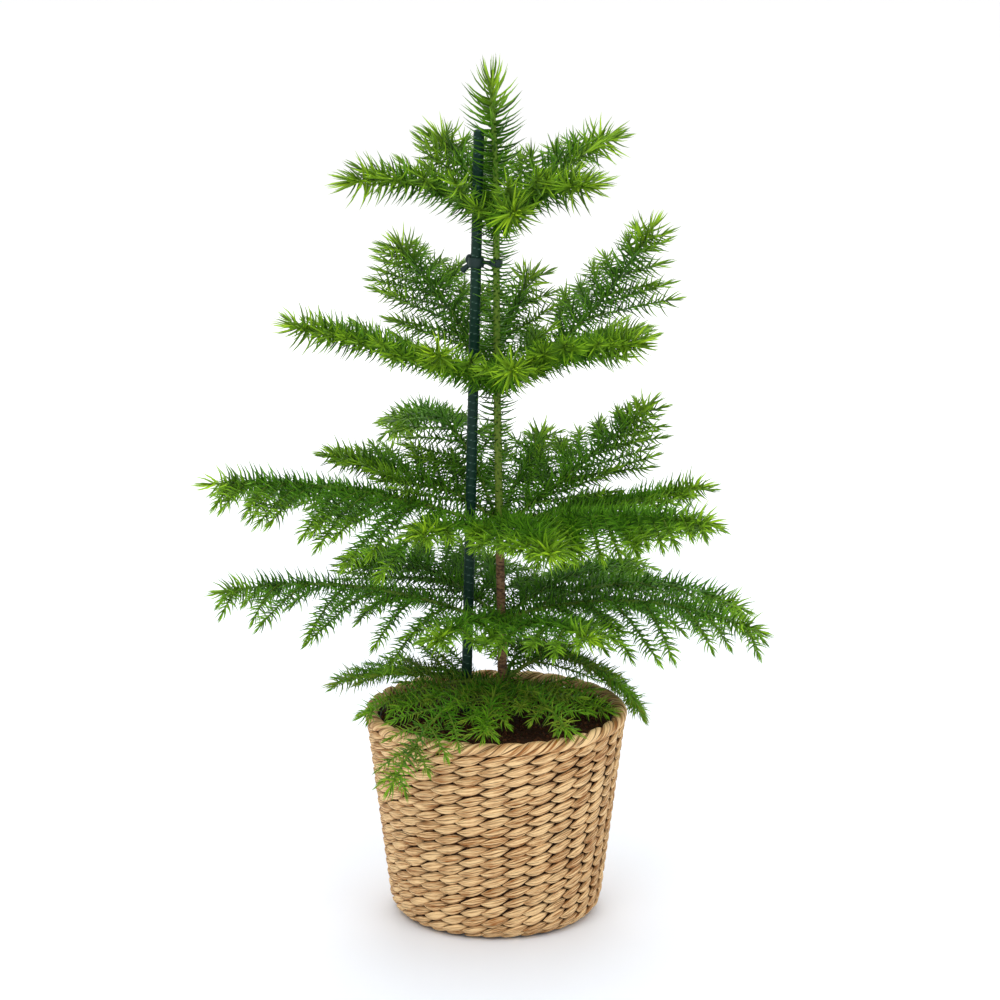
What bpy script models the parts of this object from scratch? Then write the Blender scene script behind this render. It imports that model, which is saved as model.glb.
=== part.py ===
"""Potted Norfolk Island pine in a woven basket, with a stake clipped to its stem.

Metres, +Z up. The origin is the middle of the basket's underside, and -Y faces the viewer.
Each branch is one body: three-cornered cores whose short faces are raised to needles.
"""

import math
from collections import namedtuple

import bpy
import numpy as np

MM = 0.001
GAP = 0.3 * MM
UP = np.array([0.0, 0.0, 1.0])
TAU = math.tau

# Basket: a twined wall whose lozenges stand over upright ribs
RIBS = 32
ROWS = 19
WALL_OUTSIDE = [(53.5, 0.0), (58.2, 2.6), (61.3, 7.0), (62.5, 13.0), (75.2, 115.0)]  # radius, height
WALL_TOP = WALL_OUTSIDE[-1][1] * MM
WALL_BEND = 13.0 * MM  # height where the foot's rounding ends
WALL_THICKNESS = 7.2 * MM
FLOOR_THICKNESS = 6.0 * MM
WEAVE_DEPTH = 2.2 * MM
DIP = (0.34, 0.21)  # a gap between lozenges: share of a rib's pitch, share of a row
NICK = (0.73, -0.18)  # the gap beside it, where the row below ends

# Rim: one thicker two-strand rope
RIM_RADIUS = 72.4 * MM
RIM_HEIGHT = 118.7 * MM
RIM_CREST = 3.9 * MM
RIM_GROOVE = 3.1 * MM
RIM_SECTIONS = 96

# Liner and soil
LINER_WALL = 0.8 * MM
LINER_TOP = 117.0 * MM
LINER_FLOOR = 6.3 * MM
SOIL_EDGE = 116.6 * MM
SOIL_LUMP = 1.3 * MM
SOIL_RINGS = ((0.8, 1), (0.58, 2), (0.34, 2), (0.14, 4))  # share of the radius, ribs for each point
STEM_HOLE = 3.7 * MM

# Stem, from the root ball up; x, y, z of its centre line in millimetres
STEM_LINE = [(4.2, 0, 60), (4.2, 0, 90), (4.2, 0, 118), (3.2, 0.4, 175), (2.0, 0.3, 235), (0.9, 0, 300),
             (0.3, -0.2, 382), (0.4, -0.4, 420), (-2.4, 0, 482)]
BARK_FOOT = 82 * MM
BARK_TOP = 214 * MM
STEM_TOP = 484 * MM
STEM_RADII = [(60, 2.9), (118, 2.8), (230, 2.3), (400, 1.9), (484, 1.35)]  # height, radius
STEM_ZONES = [  # top of the zone, spacing of its whorls of needles, needle length, lean from the stem
    (300, 12.5, 9.0, 66), (404, 8.6, 12.0, 60), (450, 6.4, 15.0, 50), (484, 5.6, 15.5, 40)]

# Stake and clip
STAKE_FOOT = (-18.9 * MM, 3.9 * MM, 52 * MM)
STAKE_TOP = (-9.3 * MM, 2.8 * MM, 456 * MM)
STAKE_RADIUS = 3.0 * MM
CLIP_HEIGHT = 381.5 * MM
CLIP_BAND = 6.2 * MM
CLIP_WALL = 1.4 * MM
CLIP_WEB = 1.3 * MM  # radius of the web between the band and the loop
CLIP_TAB = 1.9 * MM
CLIP_TAB_START = 2.0 * MM
CLIP_TAB_REACH = (6.2 * MM, 5.2 * MM)  # away from the stem, and down

Branch = namedtuple("Branch", "azimuth reach lift arch sweep pairs twig droop")
Tier = namedtuple("Tier", "height needle colour branches")
Growth = namedtuple("Growth", "name tier spec line core twigs")
Twig = namedtuple("Twig", "place way line core")

# Azimuth in degrees from +X towards +Y; reach, lift, arch, sweep and twig length in millimetres;
# droop is how far a twig's tip hangs, as a share of its length, and is below 0 where it rises
TIERS = {
    "top": Tier(404, 15.5, (0.20, 0.42, 0.045), [
        Branch(193, 83, 25, 10, 0, 3, 42, -0.15),
        Branch(119, 70, 42, 6, 0, 3, 42, -0.15),
        Branch(38, 84, 42, 9, 0, 3, 42, -0.12),
        Branch(-36, 64, 25, 6, 0, 3, 42, -0.15),
        Branch(-78, 50, 12, 2, 0, 2, 30, -0.15),
    ]),
    "upper": Tier(312, 12.5, (0.13, 0.33, 0.035), [
        Branch(193, 118, 38, 4, 0, 5, 54, -0.08),
        Branch(122, 113, 68, 4, 0, 5, 60, 0.08),
        Branch(88, 88, 50, 2, -18, 4, 44, -0.05),
        Branch(46, 134, 78, -14, 0, 5, 70, 0.10),
        Branch(-32, 93, 32, 6, 0, 5, 56, -0.08),
        Branch(-82, 68, 21, 2, 0, 3, 40, -0.05),
        Branch(236, 64, 28, 0, 0, 3, 38, -0.12),
    ]),
    "middle": Tier(230, 10.0, (0.085, 0.25, 0.035), [
        Branch(189, 165, 30, 9, 0, 7, 80, 0.50),
        Branch(147, 102, 34, 6, 25, 5, 60, -0.05),
        Branch(116, 148, 26, 36, 0, 5, 52, 0.20),
        Branch(75, 106, 34, 4, 0, 5, 52, 0.0),
        Branch(42, 123, 56, -2, 0, 6, 64, 0.05),
        Branch(4, 118, 21, 0, 0, 6, 56, 0.10),
        Branch(-34, 140, 20, 5, 0, 7, 68, 0.38),
        Branch(-74, 104, 6, 6, 0, 5, 50, 0.15),
        Branch(233, 76, 8, 4, 0, 4, 46, 0.15),
    ]),
    "lower": Tier(172, 9.0, (0.06, 0.20, 0.03), [
        Branch(188, 162, 24, 13, 0, 7, 74, 0.60),
        Branch(136, 110, 24, 8, 0, 6, 84, 0.05),
        Branch(95, 98, 15, 6, 0, 5, 56, 0.10),
        Branch(52, 138, 8, 10, 0, 6, 62, 0.25),
        Branch(19, 153, -6, 21, 0, 7, 60, 0.35),
        Branch(-15, 151, 6, 15, 0, 7, 68, 0.55),
        Branch(-60, 100, 14, 6, 0, 5, 60, 0.30),
        Branch(244, 84, 10, 6, 0, 4, 50, 0.20),
    ]),
    "base": Tier(134, 8.5, (0.07, 0.22, 0.03), [
        Branch(150, 95, -4, 9, 34, 5, 50, -0.05),
        Branch(201, 86, -8, 8, 0, 4, 42, 0.10),
        Branch(237, 115, -30, 18, 0, 6, 52, 0.15),
        Branch(-98, 78, -6, 8, 0, 4, 42, 0.05),
        Branch(-62, 78, -6, 8, 0, 4, 42, 0.05),
        Branch(20, 88, -26, 26, 0, 5, 50, 0.30),
        Branch(-22, 66, -8, 4, 0, 4, 40, 0.05),
        Branch(70, 72, 6, 10, 0, 4, 46, 0.0),
    ]),
}
ROOT_STAGGER = 2.2 * MM  # neighbours leave the stem a little above and below each other
ROOT_GAP = 0.65 * MM  # between the round of the stem and a branch's foot
CORE_RADIUS = (1.05 * MM, 0.7 * MM)  # of a branch, at the stem and at the tip
TWIG_RADIUS = 0.62 * MM
TWIG_ANGLE = math.radians(55)
TWIG_SPAN = (0.20, 0.92)  # share of the branch that bears twigs
WHORL_LENGTH = 2.2 * MM
BRANCH_WHORLS = 17.5 * MM  # spacing of the needles along a branch
TWIG_WHORLS = 19.0 * MM
NEEDLE_LEAN = math.radians(56)
TIP_LEAN = math.radians(36)
NEEDLE_RISE = 0.10  # share of its length that a needle's tip curls up
TWIG_NEEDLE = 0.92  # a twig's needles, as a share of the branch's
END_NEEDLE = 0.75
LEADER_TIP = 13.0 * MM
SEED = 11

BASKET_TAN = (0.50, 0.33, 0.16)
LINER_BLACK = (0.02, 0.02, 0.02)
SOIL_BROWN = (0.035, 0.022, 0.014)
BARK_BROWN = (0.19, 0.10, 0.045)
STEM_GREEN = (0.15, 0.24, 0.04)
STAKE_GREEN = (0.012, 0.06, 0.045)


def unit(v):
    return v / np.linalg.norm(v)


def finish(name, colour, roughness):
    made = bpy.data.materials.new(name + "_finish")
    made.use_nodes = True
    shader = made.node_tree.nodes["Principled BSDF"]
    shader.inputs["Base Color"].default_value = (*colour, 1.0)
    shader.inputs["Roughness"].default_value = roughness
    shader.inputs["Metallic"].default_value = 0.0
    return made


def piece(name, points, faces, colour, roughness, smooth_below=None):
    mesh = bpy.data.meshes.new(name)
    mesh.from_pydata([tuple(map(float, p)) for p in points], [], faces)
    mesh.materials.append(finish(name, colour, roughness))
    if smooth_below:
        mesh.shade_smooth()
        mesh.set_sharp_from_angle(angle=math.radians(smooth_below))
    made = bpy.data.objects.new(name, mesh)
    bpy.context.collection.objects.link(made)
    return made


def along(line, distance):
    """Point and direction at a distance along a polyline, past its end on its last straight."""
    steps = np.linalg.norm(np.diff(line, axis=0), axis=1)
    passed = np.concatenate([[0.0], np.cumsum(steps)])
    i = min(int(np.searchsorted(passed, distance, side="right")) - 1, len(steps) - 1)
    direction = (line[i + 1] - line[i]) / steps[i]
    return line[i] + direction * (distance - passed[i]), direction


def length_of(line):
    return float(np.linalg.norm(np.diff(line, axis=0), axis=1).sum())


def smooth_line(corners, steps=10):
    """A curve through its corners, read at even parts of each span."""
    p = np.array(corners, float)
    p = np.vstack([2 * p[0] - p[1], p, 2 * p[-1] - p[-2]])
    found = []
    for a, b, c, d in zip(p, p[1:], p[2:], p[3:]):
        for k in range(steps):
            t = k / steps
            found.append(0.5 * (2 * b + (c - a) * t + (2 * a - 5 * b + 4 * c - d) * t**2
                                + (3 * b - a - 3 * c + d) * t**3))
    found.append(p[-2])
    return np.array(found)


def rod_gaps(p, q, radii, rods):
    """Surface distance from one tapered rod to each rod of a table of ends and radii."""
    a, b, ra, rb = rods[:, 0:3], rods[:, 3:6], rods[:, 6], rods[:, 7]
    d1, d2, r = q - p, b - a, p - a
    len1 = max(d1 @ d1, 1e-14)
    len2 = np.maximum((d2 * d2).sum(1), 1e-14)
    dot, f, c = d2 @ d1, (d2 * r).sum(1), r @ d1
    span = len1 * len2 - dot * dot
    s = np.clip((dot * f - c * len2) / np.where(span < 1e-18, 1.0, span), 0.0, 1.0)
    t = np.clip((dot * s + f) / len2, 0.0, 1.0)
    s = np.clip((dot * t - c) / len1, 0.0, 1.0)
    apart = r + s[:, None] * d1 - t[:, None] * d2
    thick = radii[0] + (radii[1] - radii[0]) * s + ra + (rb - ra) * t
    return np.linalg.norm(apart, axis=1) - thick


class Clearance:
    """Rods already placed, each with its node and its group, such as a core or a whorl."""

    def __init__(self):
        self.rods = np.zeros((0, 10))
        self.groups = 0

    def new_group(self):
        self.groups += 1
        return self.groups

    def add(self, p, q, radii, node, group):
        self.rods = np.vstack([self.rods, [*p, *q, *radii, node, group]])

    def clear(self, p, q, radii, node, spared, own=0.15 * MM, other=0.4 * MM):
        if not clear_of_pot(p, q, radii):
            return False
        rods = self.rods[~np.isin(self.rods[:, 9], spared)]
        if not len(rods):
            return True
        gaps = rod_gaps(p, q, radii, rods)
        return bool(np.all(gaps > np.where(rods[:, 8] == node, own, other)))


def wall_radius(z):
    heights = [h * MM for _, h in WALL_OUTSIDE]
    return float(np.interp(z, heights, [r * MM for r, _ in WALL_OUTSIDE]))


def clear_of_pot(p, q, radii):
    """Whether a rod stays off the soil, the rim and the outside of the wall."""
    for s in np.linspace(0.0, 1.0, 7):
        x, y, z = p + (q - p) * s
        r = radii[0] + (radii[1] - radii[0]) * s + 0.4 * MM
        out = math.hypot(x, y)
        if out < RIM_RADIUS and z - r < SOIL_EDGE + 2 * SOIL_LUMP:
            return False
        if math.hypot(out - RIM_RADIUS, z - RIM_HEIGHT) < RIM_CREST + r:
            return False
        if z < RIM_HEIGHT and out - r < wall_radius(z):
            return False
    return True


class Shoots:
    """One node's mesh: cores of short rings, with faces raised to needles or grown to twigs."""

    def __init__(self, node, clearance, draw):
        self.points = []
        self.faces = []
        self.node = node
        self.clearance = clearance
        self.draw = draw

    def ring(self, centre, across, over, radius, turn, sides=3):
        start = len(self.points)
        for k in range(sides):
            a = turn + k * TAU / sides
            self.points.append(centre + radius * (across * math.cos(a) + over * math.sin(a)))
        return list(range(start, start + sides))

    def band(self, low, high):
        """Triangles between two rings; each point of the high one lies past its low one."""
        sides = len(low)
        ups = [(low[k], low[(k + 1) % sides], high[k]) for k in range(sides)]
        downs = [(low[(k + 1) % sides], high[(k + 1) % sides], high[k]) for k in range(sides)]
        return ups, downs

    def middle(self, face):
        return sum(self.points[i] for i in face) / 3

    def outward(self, face):
        a, b, c = (self.points[i] for i in face)
        return unit(np.cross(b - a, c - a))

    def raise_needle(self, face, heading, lean, length, whorl, core):
        """A needle on a face, as long as its neighbours leave room for, or the flat face."""
        foot = self.middle(face)
        out = self.outward(face)
        out = unit(out - heading * (out @ heading))
        wide = max(np.linalg.norm(self.points[i] - foot) for i in face)
        size = length * self.draw.uniform(0.92, 1.06)
        tilt = lean + math.radians(self.draw.uniform(-7, 7))
        for share in (1.0, 0.85, 0.7):
            tip = foot + (out * math.sin(tilt) + heading * math.cos(tilt) + NEEDLE_RISE * UP) * size * share
            if self.clearance.clear(foot, tip, (0.9 * wide, 0.0), self.node, [whorl, core]):
                self.clearance.add(foot, tip, (0.9 * wide, 0.0), self.node, whorl)
                a, b, c = face
                self.points.append(tip)
                p = len(self.points) - 1
                self.faces += [(a, b, p), (b, c, p), (c, a, p)]
                return
        self.faces.append(face)

    def close_foot(self, ring):
        for k in range(1, len(ring) - 1):
            self.faces.append((ring[0], ring[k + 1], ring[k]))

    def close_tip(self, ring, tip):
        self.points.append(tip)
        p = len(self.points) - 1
        for k, low in enumerate(ring):
            self.faces.append((low, ring[(k + 1) % len(ring)], p))


def frame_of(heading):
    """Across and over a core's heading; across is level."""
    across = np.cross(UP, heading)
    if np.linalg.norm(across) < 0.2:
        across = np.array([0.0, 1.0, 0.0]) - heading * heading[1]
    across = unit(across)
    return across, np.cross(heading, across)


def branch_line(tier, spec, order):
    """Centre line of a branch, from the surface of the stem to its last whorl."""
    a = math.radians(spec.azimuth)
    out = np.array([math.cos(a), math.sin(a), 0.0])
    side = np.array([-math.sin(a), math.cos(a), 0.0])
    root = stem_at(tier.height * MM)
    shift = ROOT_STAGGER if order % 2 else -ROOT_STAGGER
    s = np.linspace(0.0, 1.0, 21)[:, None]
    up = UP * (spec.lift * s + spec.arch * 4 * s * (1 - s)) * MM + UP * shift * (1 - s) ** 2
    line = root + out * spec.reach * s * MM + side * spec.sweep * s**2 * MM + up
    start = stem_radius(tier.height * MM) + ROOT_GAP
    cut = line[np.linalg.norm((line - root)[:, :2], axis=1) > start + 1.5 * MM]
    return np.vstack([line[0] + out * start, cut])


def twig_line(branch, spec, share, side_sign):
    """Centre line of one twig, at a share of its branch's length."""
    foot, heading = along(branch, share * length_of(branch))
    across, _ = frame_of(heading)
    long = spec.twig * MM * (1.0 - share) ** 0.7 * (0.7 + 0.3 * min(share / 0.3, 1.0))
    way = heading * math.cos(TWIG_ANGLE) + across * side_sign * math.sin(TWIG_ANGLE)
    u = np.linspace(0.0, 1.0, 6)[:, None]
    return foot + way * long * u + (heading * 0.15 - UP * spec.droop) * long * u**2


def stations(ends, fixed, spacing):
    """Places of whorls between two ends: the fixed ones, and others about a spacing apart."""
    found = []
    marks = [ends[0], *fixed, ends[1]]
    for a, b in zip(marks, marks[1:]):
        if fixed and b == ends[1] and b - a < 3 * WHORL_LENGTH:
            break
        count = max(1, round((b - a) / spacing))
        found += [a + (b - a) * k / count for k in range(1, count + 1)]
    return found


def grow(shoots, line, radii, first_ring, marks, needle, twigs, turn, core):
    """A core through its whorls, from its first ring to the needle that ends it."""
    total = length_of(line)
    low = first_ring
    for number, place in enumerate(marks):
        point, heading = along(line, place)
        across, over = frame_of(heading)
        radius = radii[0] + (radii[1] - radii[0]) * place / total
        twig_here = [t for t in twigs if abs(t.place - place) < 0.01 * MM]
        wanted = 0.0 if twig_here else shoots.draw.uniform(0.0, 120.0)
        turn += math.radians((wanted - math.degrees(turn)) % 120.0)
        foot = shoots.ring(point - heading * WHORL_LENGTH / 2, across, over, radius, turn)
        ups, downs = shoots.band(low, foot)
        shoots.faces += ups + downs
        turn += TAU / 6
        head = shoots.ring(point + heading * WHORL_LENGTH / 2, across, over, radius, turn)
        ups, downs = shoots.band(foot, head)
        whorl = shoots.clearance.new_group()
        free = ups + downs
        for twig in twig_here:
            face = max(free, key=lambda f: shoots.outward(f) @ (across * twig.way))
            free.remove(face)
            grow_twig(shoots, face, twig.line, needle, twig.core)
        last = number == len(marks) - 1
        for face in free:
            shoots.raise_needle(face, heading, TIP_LEAN if last else NEEDLE_LEAN, needle, whorl, core)
        low = head
    tip, heading = along(line, total)
    shoots.close_tip(low, tip + heading * needle * END_NEEDLE)


def grow_twig(shoots, face, line, needle, core):
    """A twig out of one face of its branch's core."""
    total = length_of(line)
    point, heading = along(line, total * 0.4)
    across, over = frame_of(heading)
    foot = shoots.middle(face)
    angles = []
    for k, i in enumerate(face):
        v = shoots.points[i] - foot
        angles.append(math.atan2(v @ over, v @ across) - k * TAU / 3)
    turn = math.atan2(sum(map(math.sin, angles)), sum(map(math.cos, angles)))
    marks = stations((2 * MM, total), [], TWIG_WHORLS)
    marks = [m for m in marks if m > 6 * MM]
    radii = (TWIG_RADIUS, TWIG_RADIUS * 0.85)
    grow(shoots, line, radii, list(face), marks, needle * TWIG_NEEDLE, [], turn, core)


def stem_line():
    return smooth_line(STEM_LINE) * MM


def stem_at(z):
    line = stem_line()
    return np.array([np.interp(z, line[:, 2], line[:, 0]), np.interp(z, line[:, 2], line[:, 1]), z])


def stem_radius(z):
    return float(np.interp(z, [h * MM for h, _ in STEM_RADII], [r * MM for _, r in STEM_RADII]))


def plan_branches(clearance):
    """Lines of all branches and twigs, with each twig cut to the room that it has."""
    plan = []
    for tier_name, tier in TIERS.items():
        for order, spec in enumerate(tier.branches):
            name = f"{tier_name}_branch_{order + 1}"
            line = branch_line(tier, spec, order)
            plan.append(Growth(name, tier, spec, line, clearance.new_group(), []))
    for node, growth in enumerate(plan):
        for a, b in zip(growth.line, growth.line[1:]):
            clearance.add(a, b, (CORE_RADIUS[0],) * 2, node, growth.core)
    for node, growth in enumerate(plan):
        pairs = growth.spec.pairs
        for k in range(1, pairs, 2):
            share = TWIG_SPAN[0] + (TWIG_SPAN[1] - TWIG_SPAN[0]) * k / max(pairs - 1, 1)
            for way in (1, -1):
                wanted = twig_line(growth.line, growth.spec, share, way)
                line = room_for(clearance, wanted, node, growth.core)
                if line is not None:
                    core = clearance.new_group()
                    growth.twigs.append(Twig(share * length_of(growth.line), way, line, core))
                    for a, b in zip(line[1:], line[2:]):
                        clearance.add(a, b, (TWIG_RADIUS,) * 2, node, core)
    return plan


def room_for(clearance, twig, node, own_core):
    """The twig, or as much of it as stays well off every other core, or nothing."""
    long = length_of(twig)
    spread = (TWIG_RADIUS + 1.2 * MM,) * 2
    for share in (1.0, 0.85, 0.7, 0.55):
        if long * share < 10 * MM:
            return None
        cut = np.array([along(twig, long * share * u)[0] for u in np.linspace(0.0, 1.0, 6)])
        if all(clearance.clear(a, b, spread, node, [own_core]) for a, b in zip(cut[1:], cut[2:])):
            return cut
    return None


def make_branches(clearance, plan):
    draw = np.random.default_rng(SEED)
    for node, (name, tier, _, line, core, twigs) in enumerate(plan):
        shoots = Shoots(node, clearance, draw)
        _, heading = along(line, 0.0)
        across, over = frame_of(unit(heading * [1, 1, 0]))
        first = shoots.ring(line[0], across, over, CORE_RADIUS[0], 0.0)
        shoots.close_foot(first)
        fixed = sorted({twig.place for twig in twigs})
        marks = stations((4 * MM, length_of(line) - 2 * MM), fixed, BRANCH_WHORLS)
        grow(shoots, line, CORE_RADIUS, first, marks, tier.needle * MM, twigs, 0.0, core)
        piece(name, shoots.points, shoots.faces, tier.colour, 0.55)


def make_stem(clearance, node, core):
    """The green stem: six-sided, with a whorl of needles on every other face."""
    draw = np.random.default_rng(SEED + 1)
    shoots = Shoots(node, clearance, draw)
    foot = BARK_TOP + GAP
    low = shoots.ring(stem_at(foot), np.array([1.0, 0, 0]), np.array([0, 1.0, 0]), stem_radius(foot), 0.0, 6)
    shoots.close_foot(low)
    turn = 0.0
    z = foot + 6 * MM
    bottom = foot
    for top, spacing, needle, lean in STEM_ZONES:
        while z < top * MM:
            heading = unit(stem_at(z + MM) - stem_at(z - MM))
            across, over = frame_of(heading)
            turn += TAU / 12
            centre = stem_at(z)
            radius = stem_radius(z)
            a = shoots.ring(centre - heading * WHORL_LENGTH / 2, across, over, radius, turn, 6)
            ups, downs = shoots.band(low, a)
            shoots.faces += ups + downs
            turn += TAU / 12
            low = shoots.ring(centre + heading * WHORL_LENGTH / 2, across, over, radius, turn, 6)
            ups, downs = shoots.band(a, low)
            whorl = clearance.new_group()
            for face in ups:
                shoots.raise_needle(face, heading, math.radians(lean), needle * MM, whorl, core)
            shoots.faces += downs
            bottom = z
            z += spacing * MM
    heading = unit(stem_at(bottom + MM) - stem_at(bottom - MM))
    shoots.close_tip(low, stem_at(bottom) + heading * LEADER_TIP)
    piece("leafy_stem", shoots.points, shoots.faces, STEM_GREEN, 0.55)


def tube(name, line, radii, sides, colour, roughness):
    """A round rod along a line, with a radius at each of its points."""
    points = []
    faces = []
    for k, (centre, radius) in enumerate(zip(line, radii)):
        heading = unit(line[min(k + 1, len(line) - 1)] - line[max(k - 1, 0)])
        across, over = frame_of(heading)
        for j in range(sides):
            a = j * TAU / sides
            points.append(centre + radius * (across * math.cos(a) + over * math.sin(a)))
    for k in range(len(line) - 1):
        for j in range(sides):
            a, b = k * sides + j, k * sides + (j + 1) % sides
            faces.append((a, b, b + sides, a + sides))
    faces.append(tuple(range(sides))[::-1])
    faces.append(tuple(range((len(line) - 1) * sides, len(line) * sides)))
    return piece(name, points, faces, colour, roughness, 40)


def make_bark():
    """The woody foot of the stem, with faint swellings where old needles stood."""
    heights = np.linspace(BARK_FOOT, BARK_TOP, 12)
    line = [stem_at(z) for z in heights]
    radii = [stem_radius(z) + (0.25 * MM if k % 2 else 0.0) for k, z in enumerate(heights)]
    tube("woody_stem", line, radii, 8, BARK_BROWN, 0.85)


def make_stake():
    foot, top = np.array(STAKE_FOOT), np.array(STAKE_TOP)
    ends = [0.0, 0.03, 0.995, 1.0]
    radii = [0.4 * STAKE_RADIUS, STAKE_RADIUS, STAKE_RADIUS, 0.75 * STAKE_RADIUS]
    tube("stake", [foot + (top - foot) * s for s in ends], radii, 12, STAKE_GREEN, 0.4)


def stake_at(z):
    foot, top = np.array(STAKE_FOOT), np.array(STAKE_TOP)
    return foot + (top - foot) * (z - foot[2]) / (top[2] - foot[2])


def cutter(name, line, radius, sides=16):
    made = tube(name, line, [radius] * len(line), sides, LINER_BLACK, 0.5)
    made.hide_render = True
    made.display_type = "WIRE"
    return made


def combine(target, tool, operation):
    """Boolean that is kept as a live modifier."""
    made = target.modifiers.new(tool.name, "BOOLEAN")
    made.operation = operation
    made.object = tool


def make_clip():
    """A band round the stake, a smaller one round the stem, a web between them and a thumb tab."""
    half = UP * CLIP_BAND / 2
    at_stake, at_stem = stake_at(CLIP_HEIGHT), stem_at(CLIP_HEIGHT)
    stake_bore = STAKE_RADIUS + GAP
    stem_bore = stem_radius(CLIP_HEIGHT) + GAP
    way = unit((at_stem - at_stake) * [1, 1, 0])
    band = tube("tie_clip", [at_stake - half, at_stake + half], [stake_bore + CLIP_WALL] * 2, 16,
                STAKE_GREEN, 0.5)
    loop = cutter("clip_loop", [at_stem - half * 0.8, at_stem + half * 0.8], stem_bore + CLIP_WALL)
    web = cutter("clip_web", [at_stake, at_stem], CLIP_WEB, 8)
    tab = cutter("clip_tab", tab_line(at_stake, way), CLIP_TAB, 8)
    for tool in (loop, web, tab):
        combine(band, tool, "UNION")
    tall = UP * 2 * CLIP_BAND
    for name, centre, bore in (("stake_bore", at_stake, stake_bore), ("stem_bore", at_stem, stem_bore)):
        combine(band, cutter(name, [centre - tall, centre + tall], bore), "DIFFERENCE")


def tab_line(at_stake, way):
    """The thumb tab's ends, away from the stem and down."""
    start = at_stake - way * CLIP_TAB_START
    return [start, start - way * CLIP_TAB_REACH[0] - UP * CLIP_TAB_REACH[1]]


def ring_points(radius, z, count):
    """A level ring of points that starts between two lozenges of the weave."""
    start = (DIP[0] + NICK[0]) / 2 * TAU / RIBS - TAU / 4
    angles = [start + k * TAU / count for k in range(count)]
    return [(radius * math.cos(a), radius * math.sin(a), z) for a in angles]


def wall_profile(share):
    """Radius and height at a share of the way up the wall's outside, from its foot."""
    line = np.array([(r, 0.0, z) for r, z in WALL_OUTSIDE]) * MM
    point, heading = along(line, share * length_of(line))
    return point[0], point[2], heading


def make_basket():
    """A cup with twined rows outside: each lozenge is a low six-sided pyramid."""
    points = []
    faces = []

    def corner(i, row, shape):
        phase, shift = shape
        inner_row = 0 < row < ROWS
        r, z, _ = wall_profile((row + (shift if inner_row else 0.0)) / ROWS)
        depth = WEAVE_DEPTH if inner_row else 0.0
        a = (i + phase) * TAU / RIBS - TAU / 4
        points.append(((r - depth) * math.cos(a), (r - depth) * math.sin(a), z))
        return len(points) - 1

    corners = [[(corner(i, row, DIP), corner(i, row, NICK)) for i in range(RIBS)] for row in range(ROWS + 1)]
    for row in range(ROWS):
        for i in range(RIBS):
            dip, nick = corners[row][i]
            dip_before, nick_before = corners[row][i - 1]
            dip_above, nick_above = corners[row + 1][i]
            nick_above_before = corners[row + 1][i - 1][1]
            r, z, _ = wall_profile((row + 0.5) / ROWS)
            a = i * TAU / RIBS - TAU / 4
            points.append((r * math.cos(a), r * math.sin(a), z))
            crest = len(points) - 1
            edge = [dip_before, nick_before, dip, nick_above, dip_above, nick_above_before]
            faces += [(edge[k], edge[(k + 1) % 6], crest) for k in range(6)]
    foot = [c for pair in corners[0] for c in pair]
    head = [c for pair in corners[ROWS] for c in pair]
    faces.append(tuple(foot[::-1]))
    inner = []
    for z in (WALL_TOP, FLOOR_THICKNESS):
        inner.append(list(range(len(points), len(points) + RIBS)))
        points += ring_points(inside_radius(z), z, RIBS)
    for i in range(RIBS):
        j = (i + 1) % RIBS
        faces.append((head[2 * i], head[2 * i + 1], inner[0][i]))
        faces.append((head[2 * i + 1], head[2 * j], inner[0][i]))
        faces.append((head[2 * j], inner[0][j], inner[0][i]))
        faces.append((inner[0][i], inner[0][j], inner[1][j], inner[1][i]))
    faces.append(tuple(inner[1]))
    piece("basket", points, faces, BASKET_TAN, 0.8)


def inside_radius(z):
    """Radius of the basket's plain inside."""
    low, high = wall_radius(WALL_BEND), wall_radius(WALL_TOP)
    return low + (high - low) * (z - WALL_BEND) / (WALL_TOP - WALL_BEND) - WALL_THICKNESS


def make_rim():
    """A rope ring of two strands, with one half turn for each rib below it."""
    points = []
    faces = []
    for k in range(RIM_SECTIONS):
        a = k * TAU / RIM_SECTIONS - TAU / 4
        turn = k * math.pi * RIBS / RIM_SECTIONS
        for j in range(4):
            b = turn + j * TAU / 4
            size = RIM_GROOVE if j % 2 else RIM_CREST
            r = RIM_RADIUS + size * math.cos(b)
            points.append((r * math.cos(a), r * math.sin(a), RIM_HEIGHT + size * math.sin(b)))
    for k in range(RIM_SECTIONS):
        n = (k + 1) % RIM_SECTIONS
        for j in range(4):
            m = (j + 1) % 4
            a, b, c, d = 4 * k + j, 4 * n + j, 4 * n + m, 4 * k + m
            faces += [(a, b, c), (a, c, d)] if j % 2 else [(a, b, d), (b, c, d)]
    piece("basket_rim", points, faces, BASKET_TAN, 0.8)


def cup(name, outer, inner, colour, roughness):
    """A turned cup from its outer rings, foot first, and its inner rings, lip first."""
    points = []
    faces = []
    for radius, z in outer + inner:
        points += ring_points(radius, z, RIBS)
    rings = [list(range(k * RIBS, (k + 1) * RIBS)) for k in range(len(outer + inner))]
    faces.append(tuple(rings[0][::-1]))
    for low, high in zip(rings, rings[1:]):
        for i in range(RIBS):
            j = (i + 1) % RIBS
            faces.append((low[i], low[j], high[j], high[i]))
    faces.append(tuple(rings[-1]))
    return piece(name, points, faces, colour, roughness)


def liner_radius(z):
    return inside_radius(z) - GAP


def soil_radius(z):
    return liner_radius(z) - LINER_WALL - GAP


def make_liner():
    outer = [(liner_radius(LINER_FLOOR), LINER_FLOOR), (liner_radius(LINER_TOP) - 0.5 * MM, LINER_TOP)]
    floor = LINER_FLOOR + LINER_WALL
    inner = [(outer[1][0] - LINER_WALL, LINER_TOP), (liner_radius(floor) - LINER_WALL, floor)]
    cup("liner", outer, inner, LINER_BLACK, 0.5)


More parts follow.
